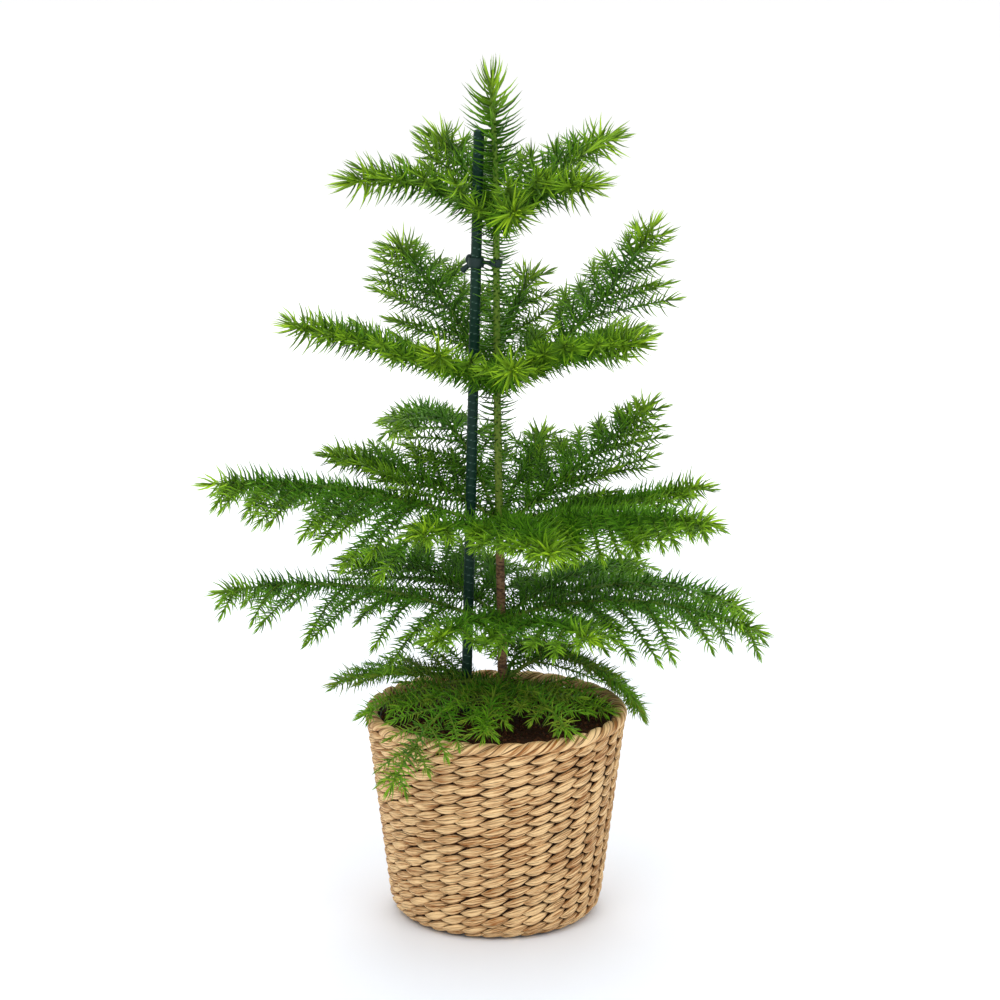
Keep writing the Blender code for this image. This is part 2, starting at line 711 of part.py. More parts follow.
def make_soil():
    """The root ball's soil, lumpy on top, with a plain hole for the stem and one for the stake."""
    floor = LINER_FLOOR + LINER_WALL + GAP
    edge = soil_radius(SOIL_EDGE) - 0.5 * MM
    points = ring_points(soil_radius(floor) - GAP, floor, RIBS)
    points += ring_points(edge, SOIL_EDGE, RIBS)
    faces = [tuple(range(RIBS))[::-1]]
    for i in range(RIBS):
        j = (i + 1) % RIBS
        faces.append((i, j, RIBS + j, RIBS + i))
    outer = list(range(RIBS, 2 * RIBS))
    for share, ribs in SOIL_RINGS:
        count = RIBS // ribs
        ring = list(range(len(points), len(points) + count))
        for x, y, _ in ring_points(edge * share, 0.0, count):
            points.append((x, y, soil_height(x, y)))
        step = len(outer) // count
        for i in range(count):
            j = (i + 1) % count
            wide = [outer[(i * step + k) % len(outer)] for k in range(step + 1)]
            for a, b in zip(wide, wide[1:]):
                faces.append((a, b, ring[i]))
            faces.append((wide[-1], ring[j], ring[i]))
        outer = ring
    points.append((0.0, 0.0, soil_height(0.0, 0.0)))
    faces += [(outer[i], outer[(i + 1) % len(outer)], len(points) - 1) for i in range(len(outer))]
    soil = piece("soil", points, faces, SOIL_BROWN, 0.95)
    low, high = BARK_FOOT - GAP, SOIL_EDGE + 10 * MM
    stem_hole = cutter("stem_hole", [stem_at(low), stem_at(high)], STEM_HOLE)
    way = unit(np.array(STAKE_TOP) - np.array(STAKE_FOOT))
    foot = np.array(STAKE_FOOT) - way * GAP
    stake_hole = cutter("stake_hole", [foot, stake_at(high)], STAKE_RADIUS + 0.6 * MM)
    combine(soil, stem_hole, "DIFFERENCE")
    combine(soil, stake_hole, "DIFFERENCE")


def soil_height(x, y):
    """Low lumps, from crossed waves."""
    wave = math.sin(x * 230 + 1.3) * math.cos(y * 190 - 0.6) + math.sin((x - y) * 140 + 0.4)
    return SOIL_EDGE + SOIL_LUMP * (0.6 + 0.5 * wave)


def fixed_rods(clearance, first_node):
    """Stake, bare stem and clip, as rods that the foliage keeps off; gives the stem's group."""
    stake, bark, stem, clip = range(first_node, first_node + 4)
    stake_rod = (stake_at(SOIL_EDGE), np.array(STAKE_TOP))
    clearance.add(*stake_rod, (STAKE_RADIUS,) * 2, stake, clearance.new_group())
    core = clearance.new_group()
    heights = np.linspace(SOIL_EDGE, STEM_TOP, 30)
    for a, b in zip(heights, heights[1:]):
        radii = (stem_radius(a) + GAP, stem_radius(b) + GAP)
        clearance.add(stem_at(a), stem_at(b), radii, bark if a < BARK_TOP else stem, core)
    half = UP * CLIP_BAND / 2
    at_stake, at_stem = stake_at(CLIP_HEIGHT), stem_at(CLIP_HEIGHT)
    way = unit((at_stem - at_stake) * [1, 1, 0])
    round_stake = STAKE_RADIUS + GAP + CLIP_WALL
    round_stem = stem_radius(CLIP_HEIGHT) + GAP + CLIP_WALL
    group = clearance.new_group()
    clearance.add(at_stake - half, at_stake + half, (round_stake,) * 2, clip, group)
    clearance.add(at_stem - half, at_stem + half, (round_stem,) * 2, clip, group)
    clearance.add(at_stake, at_stem, (CLIP_WEB + GAP,) * 2, clip, group)
    clearance.add(*tab_line(at_stake, way), (CLIP_TAB + GAP,) * 2, clip, group)
    return core


def main():
    for old in list(bpy.data.objects):
        bpy.data.objects.remove(old)
    make_basket()
    make_rim()
    make_liner()
    make_soil()
    make_bark()
    make_stake()
    make_clip()
    clearance = Clearance()
    count = sum(len(tier.branches) for tier in TIERS.values())
    stem_core = fixed_rods(clearance, count)
    plan = plan_branches(clearance)
    make_stem(clearance, count + 2, stem_core)
    make_branches(clearance, plan)


main()
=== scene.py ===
"""Looks of a potted Norfolk Island pine in a woven basket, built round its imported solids.

Metres, +Z up and -Y towards the viewer, as in the frame. The skeleton of the plant repeats the
centre lines of the solids, and node trees clothe it with needles and weave the basket.
"""

import math
from collections import namedtuple

import bpy
import numpy as np
from bpy.props import FloatProperty, FloatVectorProperty, IntProperty, PointerProperty
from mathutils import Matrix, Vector, noise


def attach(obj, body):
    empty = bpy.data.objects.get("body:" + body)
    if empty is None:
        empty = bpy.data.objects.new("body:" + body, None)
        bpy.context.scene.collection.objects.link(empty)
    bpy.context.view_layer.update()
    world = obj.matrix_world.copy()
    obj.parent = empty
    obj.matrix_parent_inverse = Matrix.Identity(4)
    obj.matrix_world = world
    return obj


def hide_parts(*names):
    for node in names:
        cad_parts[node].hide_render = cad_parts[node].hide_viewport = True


bl_info = {
    "name": "Potted Pine Finish",
    "version": (1, 0, 0),
    "blender": (4, 5, 0),
    "location": "3D View > Sidebar > Pine",
    "description": "Dresses the solids of a potted Norfolk Island pine",
    "category": "Object",
}

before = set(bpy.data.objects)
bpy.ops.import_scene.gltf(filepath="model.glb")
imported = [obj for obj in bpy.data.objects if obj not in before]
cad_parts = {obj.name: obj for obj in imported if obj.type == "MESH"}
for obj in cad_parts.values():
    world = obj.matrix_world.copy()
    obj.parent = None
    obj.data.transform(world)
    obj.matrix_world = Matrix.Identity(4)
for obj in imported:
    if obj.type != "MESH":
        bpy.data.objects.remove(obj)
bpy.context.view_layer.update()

MM = 0.001
UP = np.array([0.0, 0.0, 1.0])
TAU = math.tau
GOLDEN_TURN = math.radians(137.508)

# Basket, liner and soil, as in the solids
RIBS = 32
ROWS = 19
WALL_OUTSIDE = [(53.5, 0.0), (58.2, 2.6), (61.3, 7.0), (62.5, 13.0), (75.2, 115.0)]  # radius, height
WALL_BEND = 13.0 * MM
WALL_TOP = 115.0 * MM
WALL_THICKNESS = 7.2 * MM
FLOOR_THICKNESS = 6.0 * MM
RIM_RADIUS = 72.4 * MM
RIM_HEIGHT = 118.7 * MM
RIM_CREST = 3.9 * MM
GAP = 0.3 * MM  # between neighbouring bodies
LINER_WALL = 0.8 * MM
LINER_TOP = 117.0 * MM
LINER_FLOOR = 6.3 * MM
LINER_TAPER = 0.5 * MM
SOIL_EDGE = 116.6 * MM
FRONT = -TAU / 4  # azimuth of the viewer's side

# Basket and liner, in the looks alone
RIB_INSET = 3.9 * MM  # from the outside of the wall to the ribs behind the stitches
RIB_SWELL = 0.7 * MM
RIB_FOOT = 1.6 * MM
UNDERSIDE_SPAN = (7.0 * MM, 52.0 * MM)
UNDERSIDE_LIFT = 1.9 * MM
UNDERSIDE_RIBS = 16
UNDERSIDE_ROWS = 7
UNDERSIDE_STITCH = 1.8 * MM
LINER_COLOUR = (0.012, 0.012, 0.012)

# Stem, as in the solids: x, y, z of its centre line in millimetres
STEM_LINE = [(4.2, 0, 60), (4.2, 0, 90), (4.2, 0, 118), (3.2, 0.4, 175), (2.0, 0.3, 235), (0.9, 0, 300),
             (0.3, -0.2, 382), (0.4, -0.4, 420), (-2.4, 0, 482)]
STEM_RADII = [(60, 2.9), (118, 2.8), (230, 2.3), (400, 1.9), (484, 1.35)]  # height, radius
BARK_FOOT = 82 * MM
BARK_TOP = 214 * MM
STEM_TOP = 484 * MM

# Needles of the green stem: height and length in millimetres, lean from the stem in degrees
STEM_NEEDLES = [
    (214, 10, 92), (260, 12, 94), (300, 13.5, 96), (385, 14.5, 97), (410, 15, 95), (430, 17.5, 91),
    (448, 19.5, 89), (461, 21, 85), (470, 20, 72), (475, 18.5, 61), (480, 17, 48), (484, 15, 27)]

# Stake and clip, as in the solids
STAKE_FOOT = np.array([-18.9, 3.9, 52.0]) * MM
STAKE_TOP = np.array([-9.3, 2.8, 456.0]) * MM
STAKE_RADIUS = 3.0 * MM
CLIP_HEIGHT = 381.5 * MM
CLIP_BAND = 6.2 * MM
CLIP_WALL = 1.4 * MM

Branch = namedtuple("Branch", "azimuth reach lift arch sweep pairs twig droop infill", defaults=(1,))
Tier = namedtuple("Tier", "height needle width spacing bends branches")
Strand = namedtuple("Strand", "radii size growth lean vigour comb")
Greens = namedtuple("Greens", "fresh deep light dry", defaults=(0.0,))

# A branch has its azimuth in degrees from +X towards +Y, and its reach, lift, arch, sweep and twig
# length in millimetres. Droop is how far a twig's tip hangs, as a share of its length, and is below
# 0 where it rises. Infill is 2 where a fuller frond has one more pair of twigs in each gap.
# A tier has its height and its needles' length in millimetres, their width as a share of that
# length, their spacing as a share of the usual one, and the number of straight parts in each
TIERS = {
    "top": Tier(404, 16.0, 0.1, 1.0, 3, [
        Branch(193, 83, 25, 10, 0, 3, 42, -0.15, 2),
        Branch(119, 70, 42, 6, 0, 3, 42, -0.15, 2),
        Branch(38, 84, 42, 9, 0, 3, 42, -0.12, 2),
        Branch(-36, 64, 25, 6, 0, 3, 42, -0.15, 2),
        Branch(-78, 50, 12, 2, 0, 2, 30, -0.15),
    ]),
    "upper": Tier(312, 14.0, 0.105, 0.9, 3, [
        Branch(193, 118, 38, 4, 0, 5, 54, -0.08, 2),
        Branch(122, 113, 68, 4, 0, 5, 60, 0.08, 2),
        Branch(88, 88, 50, 2, -18, 4, 44, -0.05),
        Branch(46, 134, 78, -14, 0, 5, 70, 0.10, 2),
        Branch(-32, 93, 32, 6, 0, 5, 56, -0.08, 2),
        Branch(-82, 68, 21, 2, 0, 3, 40, -0.05),
        Branch(236, 64, 28, 0, 0, 3, 38, -0.12),
    ]),
    "middle": Tier(230, 12.0, 0.125, 0.92, 2, [
        Branch(189, 165, 30, 9, 0, 7, 80, 0.50, 2),
        Branch(147, 102, 34, 6, 25, 5, 60, -0.05, 2),
        Branch(116, 148, 26, 36, 0, 5, 52, 0.20, 2),
        Branch(75, 106, 34, 4, 0, 5, 52, 0.0),
        Branch(42, 123, 56, -2, 0, 6, 64, 0.05, 2),
        Branch(4, 118, 21, 0, 0, 6, 56, 0.10, 2),
        Branch(-34, 140, 20, 5, 0, 7, 68, 0.38, 2),
        Branch(-74, 104, 6, 6, 0, 5, 50, 0.15, 2),
        Branch(233, 76, 8, 4, 0, 4, 46, 0.15),
    ]),
    "lower": Tier(172, 11.0, 0.13, 0.92, 2, [
        Branch(188, 162, 24, 13, 0, 7, 74, 0.60),
        Branch(136, 110, 24, 8, 0, 6, 84, 0.05, 2),
        Branch(95, 98, 15, 6, 0, 5, 56, 0.10),
        Branch(52, 138, 8, 10, 0, 6, 62, 0.25, 2),
        Branch(19, 153, -6, 21, 0, 7, 60, 0.35),
        Branch(-15, 151, 6, 15, 0, 7, 68, 0.55),
        Branch(-60, 100, 14, 6, 0, 5, 60, 0.30),
        Branch(244, 84, 10, 6, 0, 4, 50, 0.20),
    ]),
    "base": Tier(134, 9.5, 0.115, 0.95, 2, [
        Branch(150, 95, -4, 9, 34, 5, 50, -0.05, 2),
        Branch(201, 86, -8, 8, 0, 4, 42, 0.10),
        Branch(237, 115, -30, 18, 0, 6, 52, 0.15),
        Branch(-98, 78, -6, 8, 0, 4, 42, 0.05),
        Branch(-62, 78, -6, 8, 0, 4, 42, 0.05),
        Branch(20, 88, -26, 26, 0, 5, 50, 0.30, 2),
        Branch(-22, 66, -8, 4, 0, 4, 40, 0.05),
        Branch(70, 72, 6, 10, 0, 4, 46, 0.0, 2),
    ]),
}
ROOT_STAGGER = 2.2 * MM
TWIG_ANGLE = math.radians(55)
TWIG_SPAN = (0.20, 0.92)  # share of the branch that bears twigs
GROWTH_AT = (0.0, 0.6, 0.92, 1.0)  # places along a strand, at which growth is given

# Radii at the foot and the tip, needle length as a share of the tier's and its growth along
# the strand, lean from the strand in degrees, share of the fresh colour at the tip, and how far
# the needles gather at two sides: 0 is evenly all round
MAIN = Strand((1.25 * MM, 0.55 * MM), 1.0, (0.88, 0.96, 1.2, 1.15), 88, 1.0, 0.0)
TWIG = Strand((0.55 * MM, 0.32 * MM), 0.77, (0.92, 1.0, 1.06, 1.0), 78, 0.56, 0.36)

# How far needles take the fresh colour, the darkest green of old needles and painted shade, and the dry
# colour, and how light they are
GREENS = {
    "leader": Greens(0.8, 0.5, 1.05),
    "top": Greens(1.0, 0.5, 1.05),
    "upper": Greens(0.95, 0.4, 1.1),
    "middle": Greens(0.9, 0.25, 1.25),
    "lower": Greens(0.75, 0.2, 1.25),
    "base": Greens(0.5, 0.4, 1.8, 0.4),
}
SEED = 11

# Camera and stage
CAMERA_PLACE = (0.0, -1.6, 0.618)
CAMERA_AIM = (0.0, 0.0, 0.245)
CAMERA_LENS = 103.5
CAMERA_SHIFT = 0.0042
LAMPS = {  # place, size and power as a share of the key light's
    "key": ((-0.7, -1.6, 2.1), 1.3, 1.0),
    "fill": ((1.0, -1.5, 2.0), 1.5, 0.8),
    "back": ((0.1, 1.8, 1.8), 1.4, 0.9),
}
OVERHEAD_SPREAD = math.radians(70)
OVERHEAD_TILT = (math.radians(-14), math.radians(2), 0.0)
FLOOR_SIZE = 40.0  # half of its side
FLOOR_FADE = (0.4, 2.0)  # radii between which the floor turns white


def tint(code):
    """Linear colour of a six-figure web colour."""
    parts = [int(code[k:k + 2], 16) / 255 for k in (0, 2, 4)]
    return tuple(p / 12.92 if p <= 0.04045 else ((p + 0.055) / 1.055) ** 2.4 for p in parts)


def colour_property(name, description, code):
    return FloatVectorProperty(name=name, description=description, default=tint(code), size=3,
                               min=0.0, max=1.0, subtype="COLOR")


def length_property(name, description, default):
    return FloatProperty(name=name, description=description, default=default, min=0.0,
                         subtype="DISTANCE", unit="LENGTH", precision=5)


class PineFoliage(bpy.types.PropertyGroup):
    """Needles and stems."""
    needle_width: FloatProperty(name="Needle width", description="Scale of the needles' widths",
                                default=1.0, min=0.1, max=3.0, subtype="FACTOR")
    needle_spacing: length_property("Needle spacing", "Length of stem for each needle", 0.57 * MM)
    needle_curl: FloatProperty(name="Needle curl", description="How far a tip bends forward, by length",
                               default=0.27, min=0.0, max=1.0, subtype="FACTOR")
    fresh: colour_property("Fresh green", "Needles at the growing tips", "A6CE22")
    leaf: colour_property("Leaf green", "Needles along the branches", "56961E")
    # The darkest green stands for old needles and for painted shade inside the branches.
    deep: colour_property("Deep green", "Old needles near the stem", "1A500E")
    dry: colour_property("Dry needles", "Withered needles low on the plant", "8A7A34")
    shoot: colour_property("Shoot green", "Bark of the green stem and the twigs", "64882A")
    seed: IntProperty(name="Seed", description="Start of the random draws", default=SEED, min=0)


class PineBasket(bpy.types.PropertyGroup):
    """Woven basket and its soil."""
    stitch_depth: length_property("Stitch depth", "Thickness of one stitch", 3.0 * MM)
    straw_light: colour_property("Light straw", "Palest strands", "F4CF98")
    straw_dark: colour_property("Dark straw", "Darkest strands", "9A602A")
    # The fold colour also paints the shade where stitches tuck under and in the grooves of the rim.
    fold: colour_property("Folds", "Fold lines and crevices of a strand", "5E3C1A")
    shadow: colour_property("Shadow", "Ribs seen between the stitches", "1E120A")
    soil: colour_property("Soil", "Damp potting soil", "3A2416")
    soil_pale: colour_property("Pale soil", "Drier crumbs of the soil", "74472C")


class PineStem(bpy.types.PropertyGroup):
    """Woody stem, stake and clip."""
    bark: colour_property("Bark", "Brown of the woody stem", "8A6848")
    crack: colour_property("Cracks", "Dark cracks round the woody stem", "4A3020")
    scale: colour_property("Scales", "Grey scales of the bark", "8E7460")
    stake: colour_property("Stake", "Coating of the stake", "0A3024")
    # The ridge colour makes the helix's crests paler, in broken lines.
    ridge: colour_property("Ridge", "Worn crests of the stake's helix", "86AB9F")
    ridge_pitch: length_property("Ridge pitch", "Rise of the stake's helix in one turn", 4.4 * MM)
    clip: colour_property("Clip", "Soft plastic of the tie clip", "0A2422")


class PineStage(bpy.types.PropertyGroup):
    """Floor, lights and camera."""
    floor: colour_property("Floor", "Pale floor round the basket", "EFF3FA")
    key_power: FloatProperty(name="Key light", description="Power of the main light in watts",
                             default=16.0, min=0.0, unit="POWER")
    overhead: FloatProperty(name="Overhead light", description="Strength of the broad light from above",
                            default=1.2, min=0.0)


class Value:
    """One output of a node; arithmetic on it adds Math nodes to the same tree."""

    def __init__(self, nodes, socket):
        self.nodes = nodes
        self.socket = socket

    def of(self, name):
        """Another output of the same node."""
        return Value(self.nodes, Nodes.find(self.socket.node.outputs, name))

    def math(self, operation, *others):
        return self.nodes.math(operation, self, *others)

    def __add__(self, other):
        return self.math("ADD", other)

    def __sub__(self, other):
        return self.math("SUBTRACT", other)

    def __rsub__(self, other):
        return self.nodes.math("SUBTRACT", other, self)

    def __mul__(self, other):
        return self.math("MULTIPLY", other)

    def __truediv__(self, other):
        return self.math("DIVIDE", other)

    def __pow__(self, other):
        return self.math("POWER", other)

    def __mod__(self, other):
        return self.math("FLOORED_MODULO", other)

    def __gt__(self, other):
        return self.math("GREATER_THAN", other)

    def __lt__(self, other):
        return self.math("LESS_THAN", other)

    __radd__ = __add__
    __rmul__ = __mul__


class Nodes:
    """Adds nodes to one tree: a type, its settings, then the values or links of its sockets."""

    def __init__(self, tree):
        self.tree = tree

    @staticmethod
    def find(sockets, key):
        """A socket by its number, or by its name among those in use."""
        if isinstance(key, int):
            return sockets[key]
        return next(s for s in sockets if s.name == key and s.enabled)

    def add(self, kind, settings=None, sockets=None, output=0):
        made = self.tree.nodes.new(kind)
        for name, value in (settings or {}).items():
            setattr(made, name, value)
        self.fill(made, sockets or {})
        return Value(self, self.find(made.outputs, output))

    def fill(self, node, sockets):
        for key, value in sockets.items():
            socket = self.find(node.inputs, key)
            if isinstance(value, Value):
                self.tree.links.new(value.socket, socket)
            else:
                socket.default_value = value

    def math(self, operation, *values):
        return self.add("ShaderNodeMath", {"operation": operation}, dict(enumerate(values)))

    def clamp(self, value, low=0.0, high=1.0):
        return self.add("ShaderNodeClamp", None, {"Value": value, "Min": low, "Max": high})

    def smooth(self, value, low, high):
        """0 below low, 1 above high and a smooth step between; high may be the lower one."""
        return self.add("ShaderNodeMapRange", {"interpolation_type": "SMOOTHSTEP"},
                        {"Value": value, "From Min": low, "From Max": high})

    def vector(self, x, y, z):
        return self.add("ShaderNodeCombineXYZ", None, {0: x, 1: y, 2: z})

    def parts(self, vector):
        """X, Y and Z of a vector."""
        split = self.add("ShaderNodeSeparateXYZ", None, {0: vector})
        return split, split.of("Y"), split.of("Z")


class Finish(Nodes):
    """A Principled material."""

    def __init__(self, name):
        self.material = bpy.data.materials.new(name)
        self.material.use_nodes = True
        super().__init__(self.material.node_tree)
        self.shader = self.tree.nodes["Principled BSDF"]

    def surface(self, **sockets):
        self.fill(self.shader, {name.replace("_", " "): value for name, value in sockets.items()})
        return self.material

    def attribute(self, name):
        return self.add("ShaderNodeAttribute", {"attribute_name": name}, None, "Fac")

    def place(self):
        return self.add("ShaderNodeTexCoord", None, None, "Object")

    def noise(self, vector, scale, detail=2.0, roughness=0.5):
        return self.add("ShaderNodeTexNoise", None,
                        {"Vector": vector, "Scale": scale, "Detail": detail, "Roughness": roughness})

    def mix(self, a, b, factor):
        a, b = (v if isinstance(v, Value) else (*v, 1.0) for v in (a, b))
        return self.add("ShaderNodeMix", {"data_type": "RGBA"},
                        {"Factor": factor, "A": a, "B": b}, "Result")

    def bump(self, height, distance, strength=1.0):
        return self.add("ShaderNodeBump", None,
                        {"Height": height, "Distance": distance, "Strength": strength})


class Growth(Nodes):
    """A geometry tree with named inputs, each given as its socket type and default."""

    def __init__(self, name, inputs):
        tree = bpy.data.node_groups.new(name, "GeometryNodeTree")
        super().__init__(tree)
        tree.interface.new_socket("Geometry", in_out="INPUT", socket_type="NodeSocketGeometry")
        tree.interface.new_socket("Geometry", in_out="OUTPUT", socket_type="NodeSocketGeometry")
        for label, (kind, default) in inputs.items():
            made = tree.interface.new_socket(label, in_out="INPUT", socket_type=f"NodeSocket{kind}")
            if default is not None:
                made.default_value = default
        self.group = tree.nodes.new("NodeGroupInput")

    def input(self, name):
        return Value(self, self.group.outputs[name])

    def attribute(self, name):
        return self.add("GeometryNodeInputNamedAttribute", {"data_type": "FLOAT"},
                        {"Name": name}, "Attribute")

    def store(self, geometry, name, value):
        return self.add("GeometryNodeStoreNamedAttribute", {"data_type": "FLOAT", "domain": "POINT"},
                        {"Geometry": geometry, "Name": name, "Value": value})

    def moved(self, geometry, position):
        return self.add("GeometryNodeSetPosition", None, {"Geometry": geometry, "Position": position})

    def position(self):
        return self.parts(self.add("GeometryNodeInputPosition"))

    def around(self, radius, azimuth, height):
        """The place at a radius and an azimuth from the Z axis."""
        return self.vector(radius * self.math("COSINE", azimuth),
                           radius * self.math("SINE", azimuth), height)

    def random(self, low, high, seed):
        return self.add("FunctionNodeRandomValue", {"data_type": "FLOAT"},
                        {"Min": low, "Max": high, "Seed": seed}, "Value")

    def finished(self, geometry, material):
        """The geometry as a real mesh, smooth and with its material."""
        real = self.add("GeometryNodeRealizeInstances", None, {"Geometry": geometry})
        shaded = self.add("GeometryNodeSetShadeSmooth", None, {"Geometry": real})
        return self.add("GeometryNodeSetMaterial", None, {"Geometry": shaded, "Material": material})

    def joined(self, *geometries):
        made = self.tree.nodes.new("GeometryNodeJoinGeometry")
        for geometry in geometries:
            self.tree.links.new(geometry.socket, made.inputs[0])
        return Value(self, made.outputs[0])

    def end(self, geometry):
        out = self.tree.nodes.new("NodeGroupOutput")
        self.tree.links.new(geometry.socket, out.inputs[0])
        return self.tree


def link(name, data):
    made = bpy.data.objects.new(name, data)
    bpy.context.scene.collection.objects.link(made)
    return made


def aimed(made, place):
    """Stands a lamp or the camera at its place, turned to the middle of the plant."""
    made.location = place
    made.rotation_euler = (Vector(CAMERA_AIM) - made.location).to_track_quat("-Z", "Y").to_euler()
    return made


def solid(name, points, faces, material, smooth=True):
    """A mesh piece from points in metres and faces that point outwards."""
    mesh = bpy.data.meshes.new(name)
    mesh.from_pydata([tuple(map(float, p)) for p in points], [], faces)
    mesh.materials.append(material)
    if smooth:
        mesh.shade_smooth()
    return link(name, mesh)


def skeleton(name, lines, values):
    """A mesh of open polylines with named point values, for a tree to clothe."""
    points = np.vstack(lines)
    edges = []
    start = 0
    for line in lines:
        edges += [(k, k + 1) for k in range(start, start + len(line) - 1)]
        start += len(line)
    mesh = bpy.data.meshes.new(name)
    mesh.from_pydata(points.tolist(), edges, [])
    for label, parts in values.items():
        made = mesh.attributes.new(label, "FLOAT", "POINT")
        made.data.foreach_set("value", np.concatenate(parts).astype(np.float32))
    return link(name, mesh)


def settled(piece):
    """Leaves a piece as the plain mesh that its modifiers make."""
    graph = bpy.context.evaluated_depsgraph_get()
    mesh = bpy.data.meshes.new_from_object(piece.evaluated_get(graph), depsgraph=graph)
    if not len(mesh.polygons):
        raise RuntimeError(f"{piece.name}: its modifiers left no faces")
    piece.modifiers.clear()
    old = piece.data
    piece.data = mesh
    bpy.data.meshes.remove(old)
    mesh.name = piece.name
    return piece


def grown(source, tree, values):
    """Clothes a source object with a tree, which takes its inputs by name."""
    modifier = source.modifiers.new(tree.name, "NODES")
    modifier.node_group = tree
    for item in tree.interface.items_tree:
        if item.in_out == "INPUT" and item.name in values:
            modifier[item.identifier] = values[item.name]
    return settled(source)


def worn(piece, node):
    """Puts a finished piece on the part's body, in place of a node."""
    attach(piece, "root")
    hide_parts(node)


def unit(v):
    return v / np.linalg.norm(v)


def along(line, distance):
    """Point and direction at a distance along a polyline, past its end on its last straight."""
    steps = np.linalg.norm(np.diff(line, axis=0), axis=1)
    passed = np.concatenate([[0.0], np.cumsum(steps)])
    i = min(int(np.searchsorted(passed, distance, side="right")) - 1, len(steps) - 1)
    direction = (line[i + 1] - line[i]) / steps[i]
    return line[i] + direction * (distance - passed[i]), direction


def length_of(line):
    return float(np.linalg.norm(np.diff(line, axis=0), axis=1).sum())


def smooth_line(corners, steps=10):
    """A curve through its corners, read at even parts of each span."""
    p = np.array(corners, float)
    p = np.vstack([2 * p[0] - p[1], p, 2 * p[-1] - p[-2]])
    found = []
    for a, b, c, d in zip(p, p[1:], p[2:], p[3:]):
        for k in range(steps):
            t = k / steps
            found.append(0.5 * (2 * b + (c - a) * t + (2 * a - 5 * b + 4 * c - d) * t**2
                                + (3 * b - a - 3 * c + d) * t**3))
    found.append(p[-2])
    return np.array(found)


STEM_CURVE = smooth_line(STEM_LINE) * MM


def stem_at(z):
    return np.array([np.interp(z, STEM_CURVE[:, 2], STEM_CURVE[:, k]) for k in (0, 1)] + [z])


def stem_radius(z):
    return float(np.interp(z / MM, [h for h, _ in STEM_RADII], [r for _, r in STEM_RADII])) * MM


def branch_line(tier, spec, order):
    """Centre line of a branch, from the middle of the stem to its last whorl."""
    a = math.radians(spec.azimuth)
    out = np.array([math.cos(a), math.sin(a), 0.0])
    side = np.array([-math.sin(a), math.cos(a), 0.0])
    root = stem_at(tier.height * MM)
    shift = ROOT_STAGGER if order % 2 else -ROOT_STAGGER
    s = np.linspace(0.0, 1.0, 21)[:, None]
    rise = (spec.lift * s + spec.arch * 4 * s * (1 - s)) * MM + shift * (1 - s) ** 2
    return root + out * spec.reach * s * MM + side * spec.sweep * s**2 * MM + UP * rise


def twig_line(branch, spec, share, way, draw):
    """Centre line of one twig, at a share of its branch's length, with a small random bend."""
    foot, heading = along(branch, share * length_of(branch))
    across = unit(np.cross(UP, heading))
    # Twigs grow longer over the first part of the branch, and shorter again towards its tip
    long = spec.twig * MM * max((1.0 - share) ** 0.7, 0.22) * (0.7 + 0.3 * min(share / 0.3, 1.0))
    long *= draw.uniform(0.88, 1.1)
    angle = TWIG_ANGLE + math.radians(draw.uniform(-7, 7))
    run = heading * math.cos(angle) + across * way * math.sin(angle)
    stray = draw.uniform(-0.10, 0.10, 3)
    u = np.linspace(0.0, 1.0, 9)[:, None]
    return foot + run * long * u + (heading * 0.15 - UP * spec.droop + stray) * long * u**2


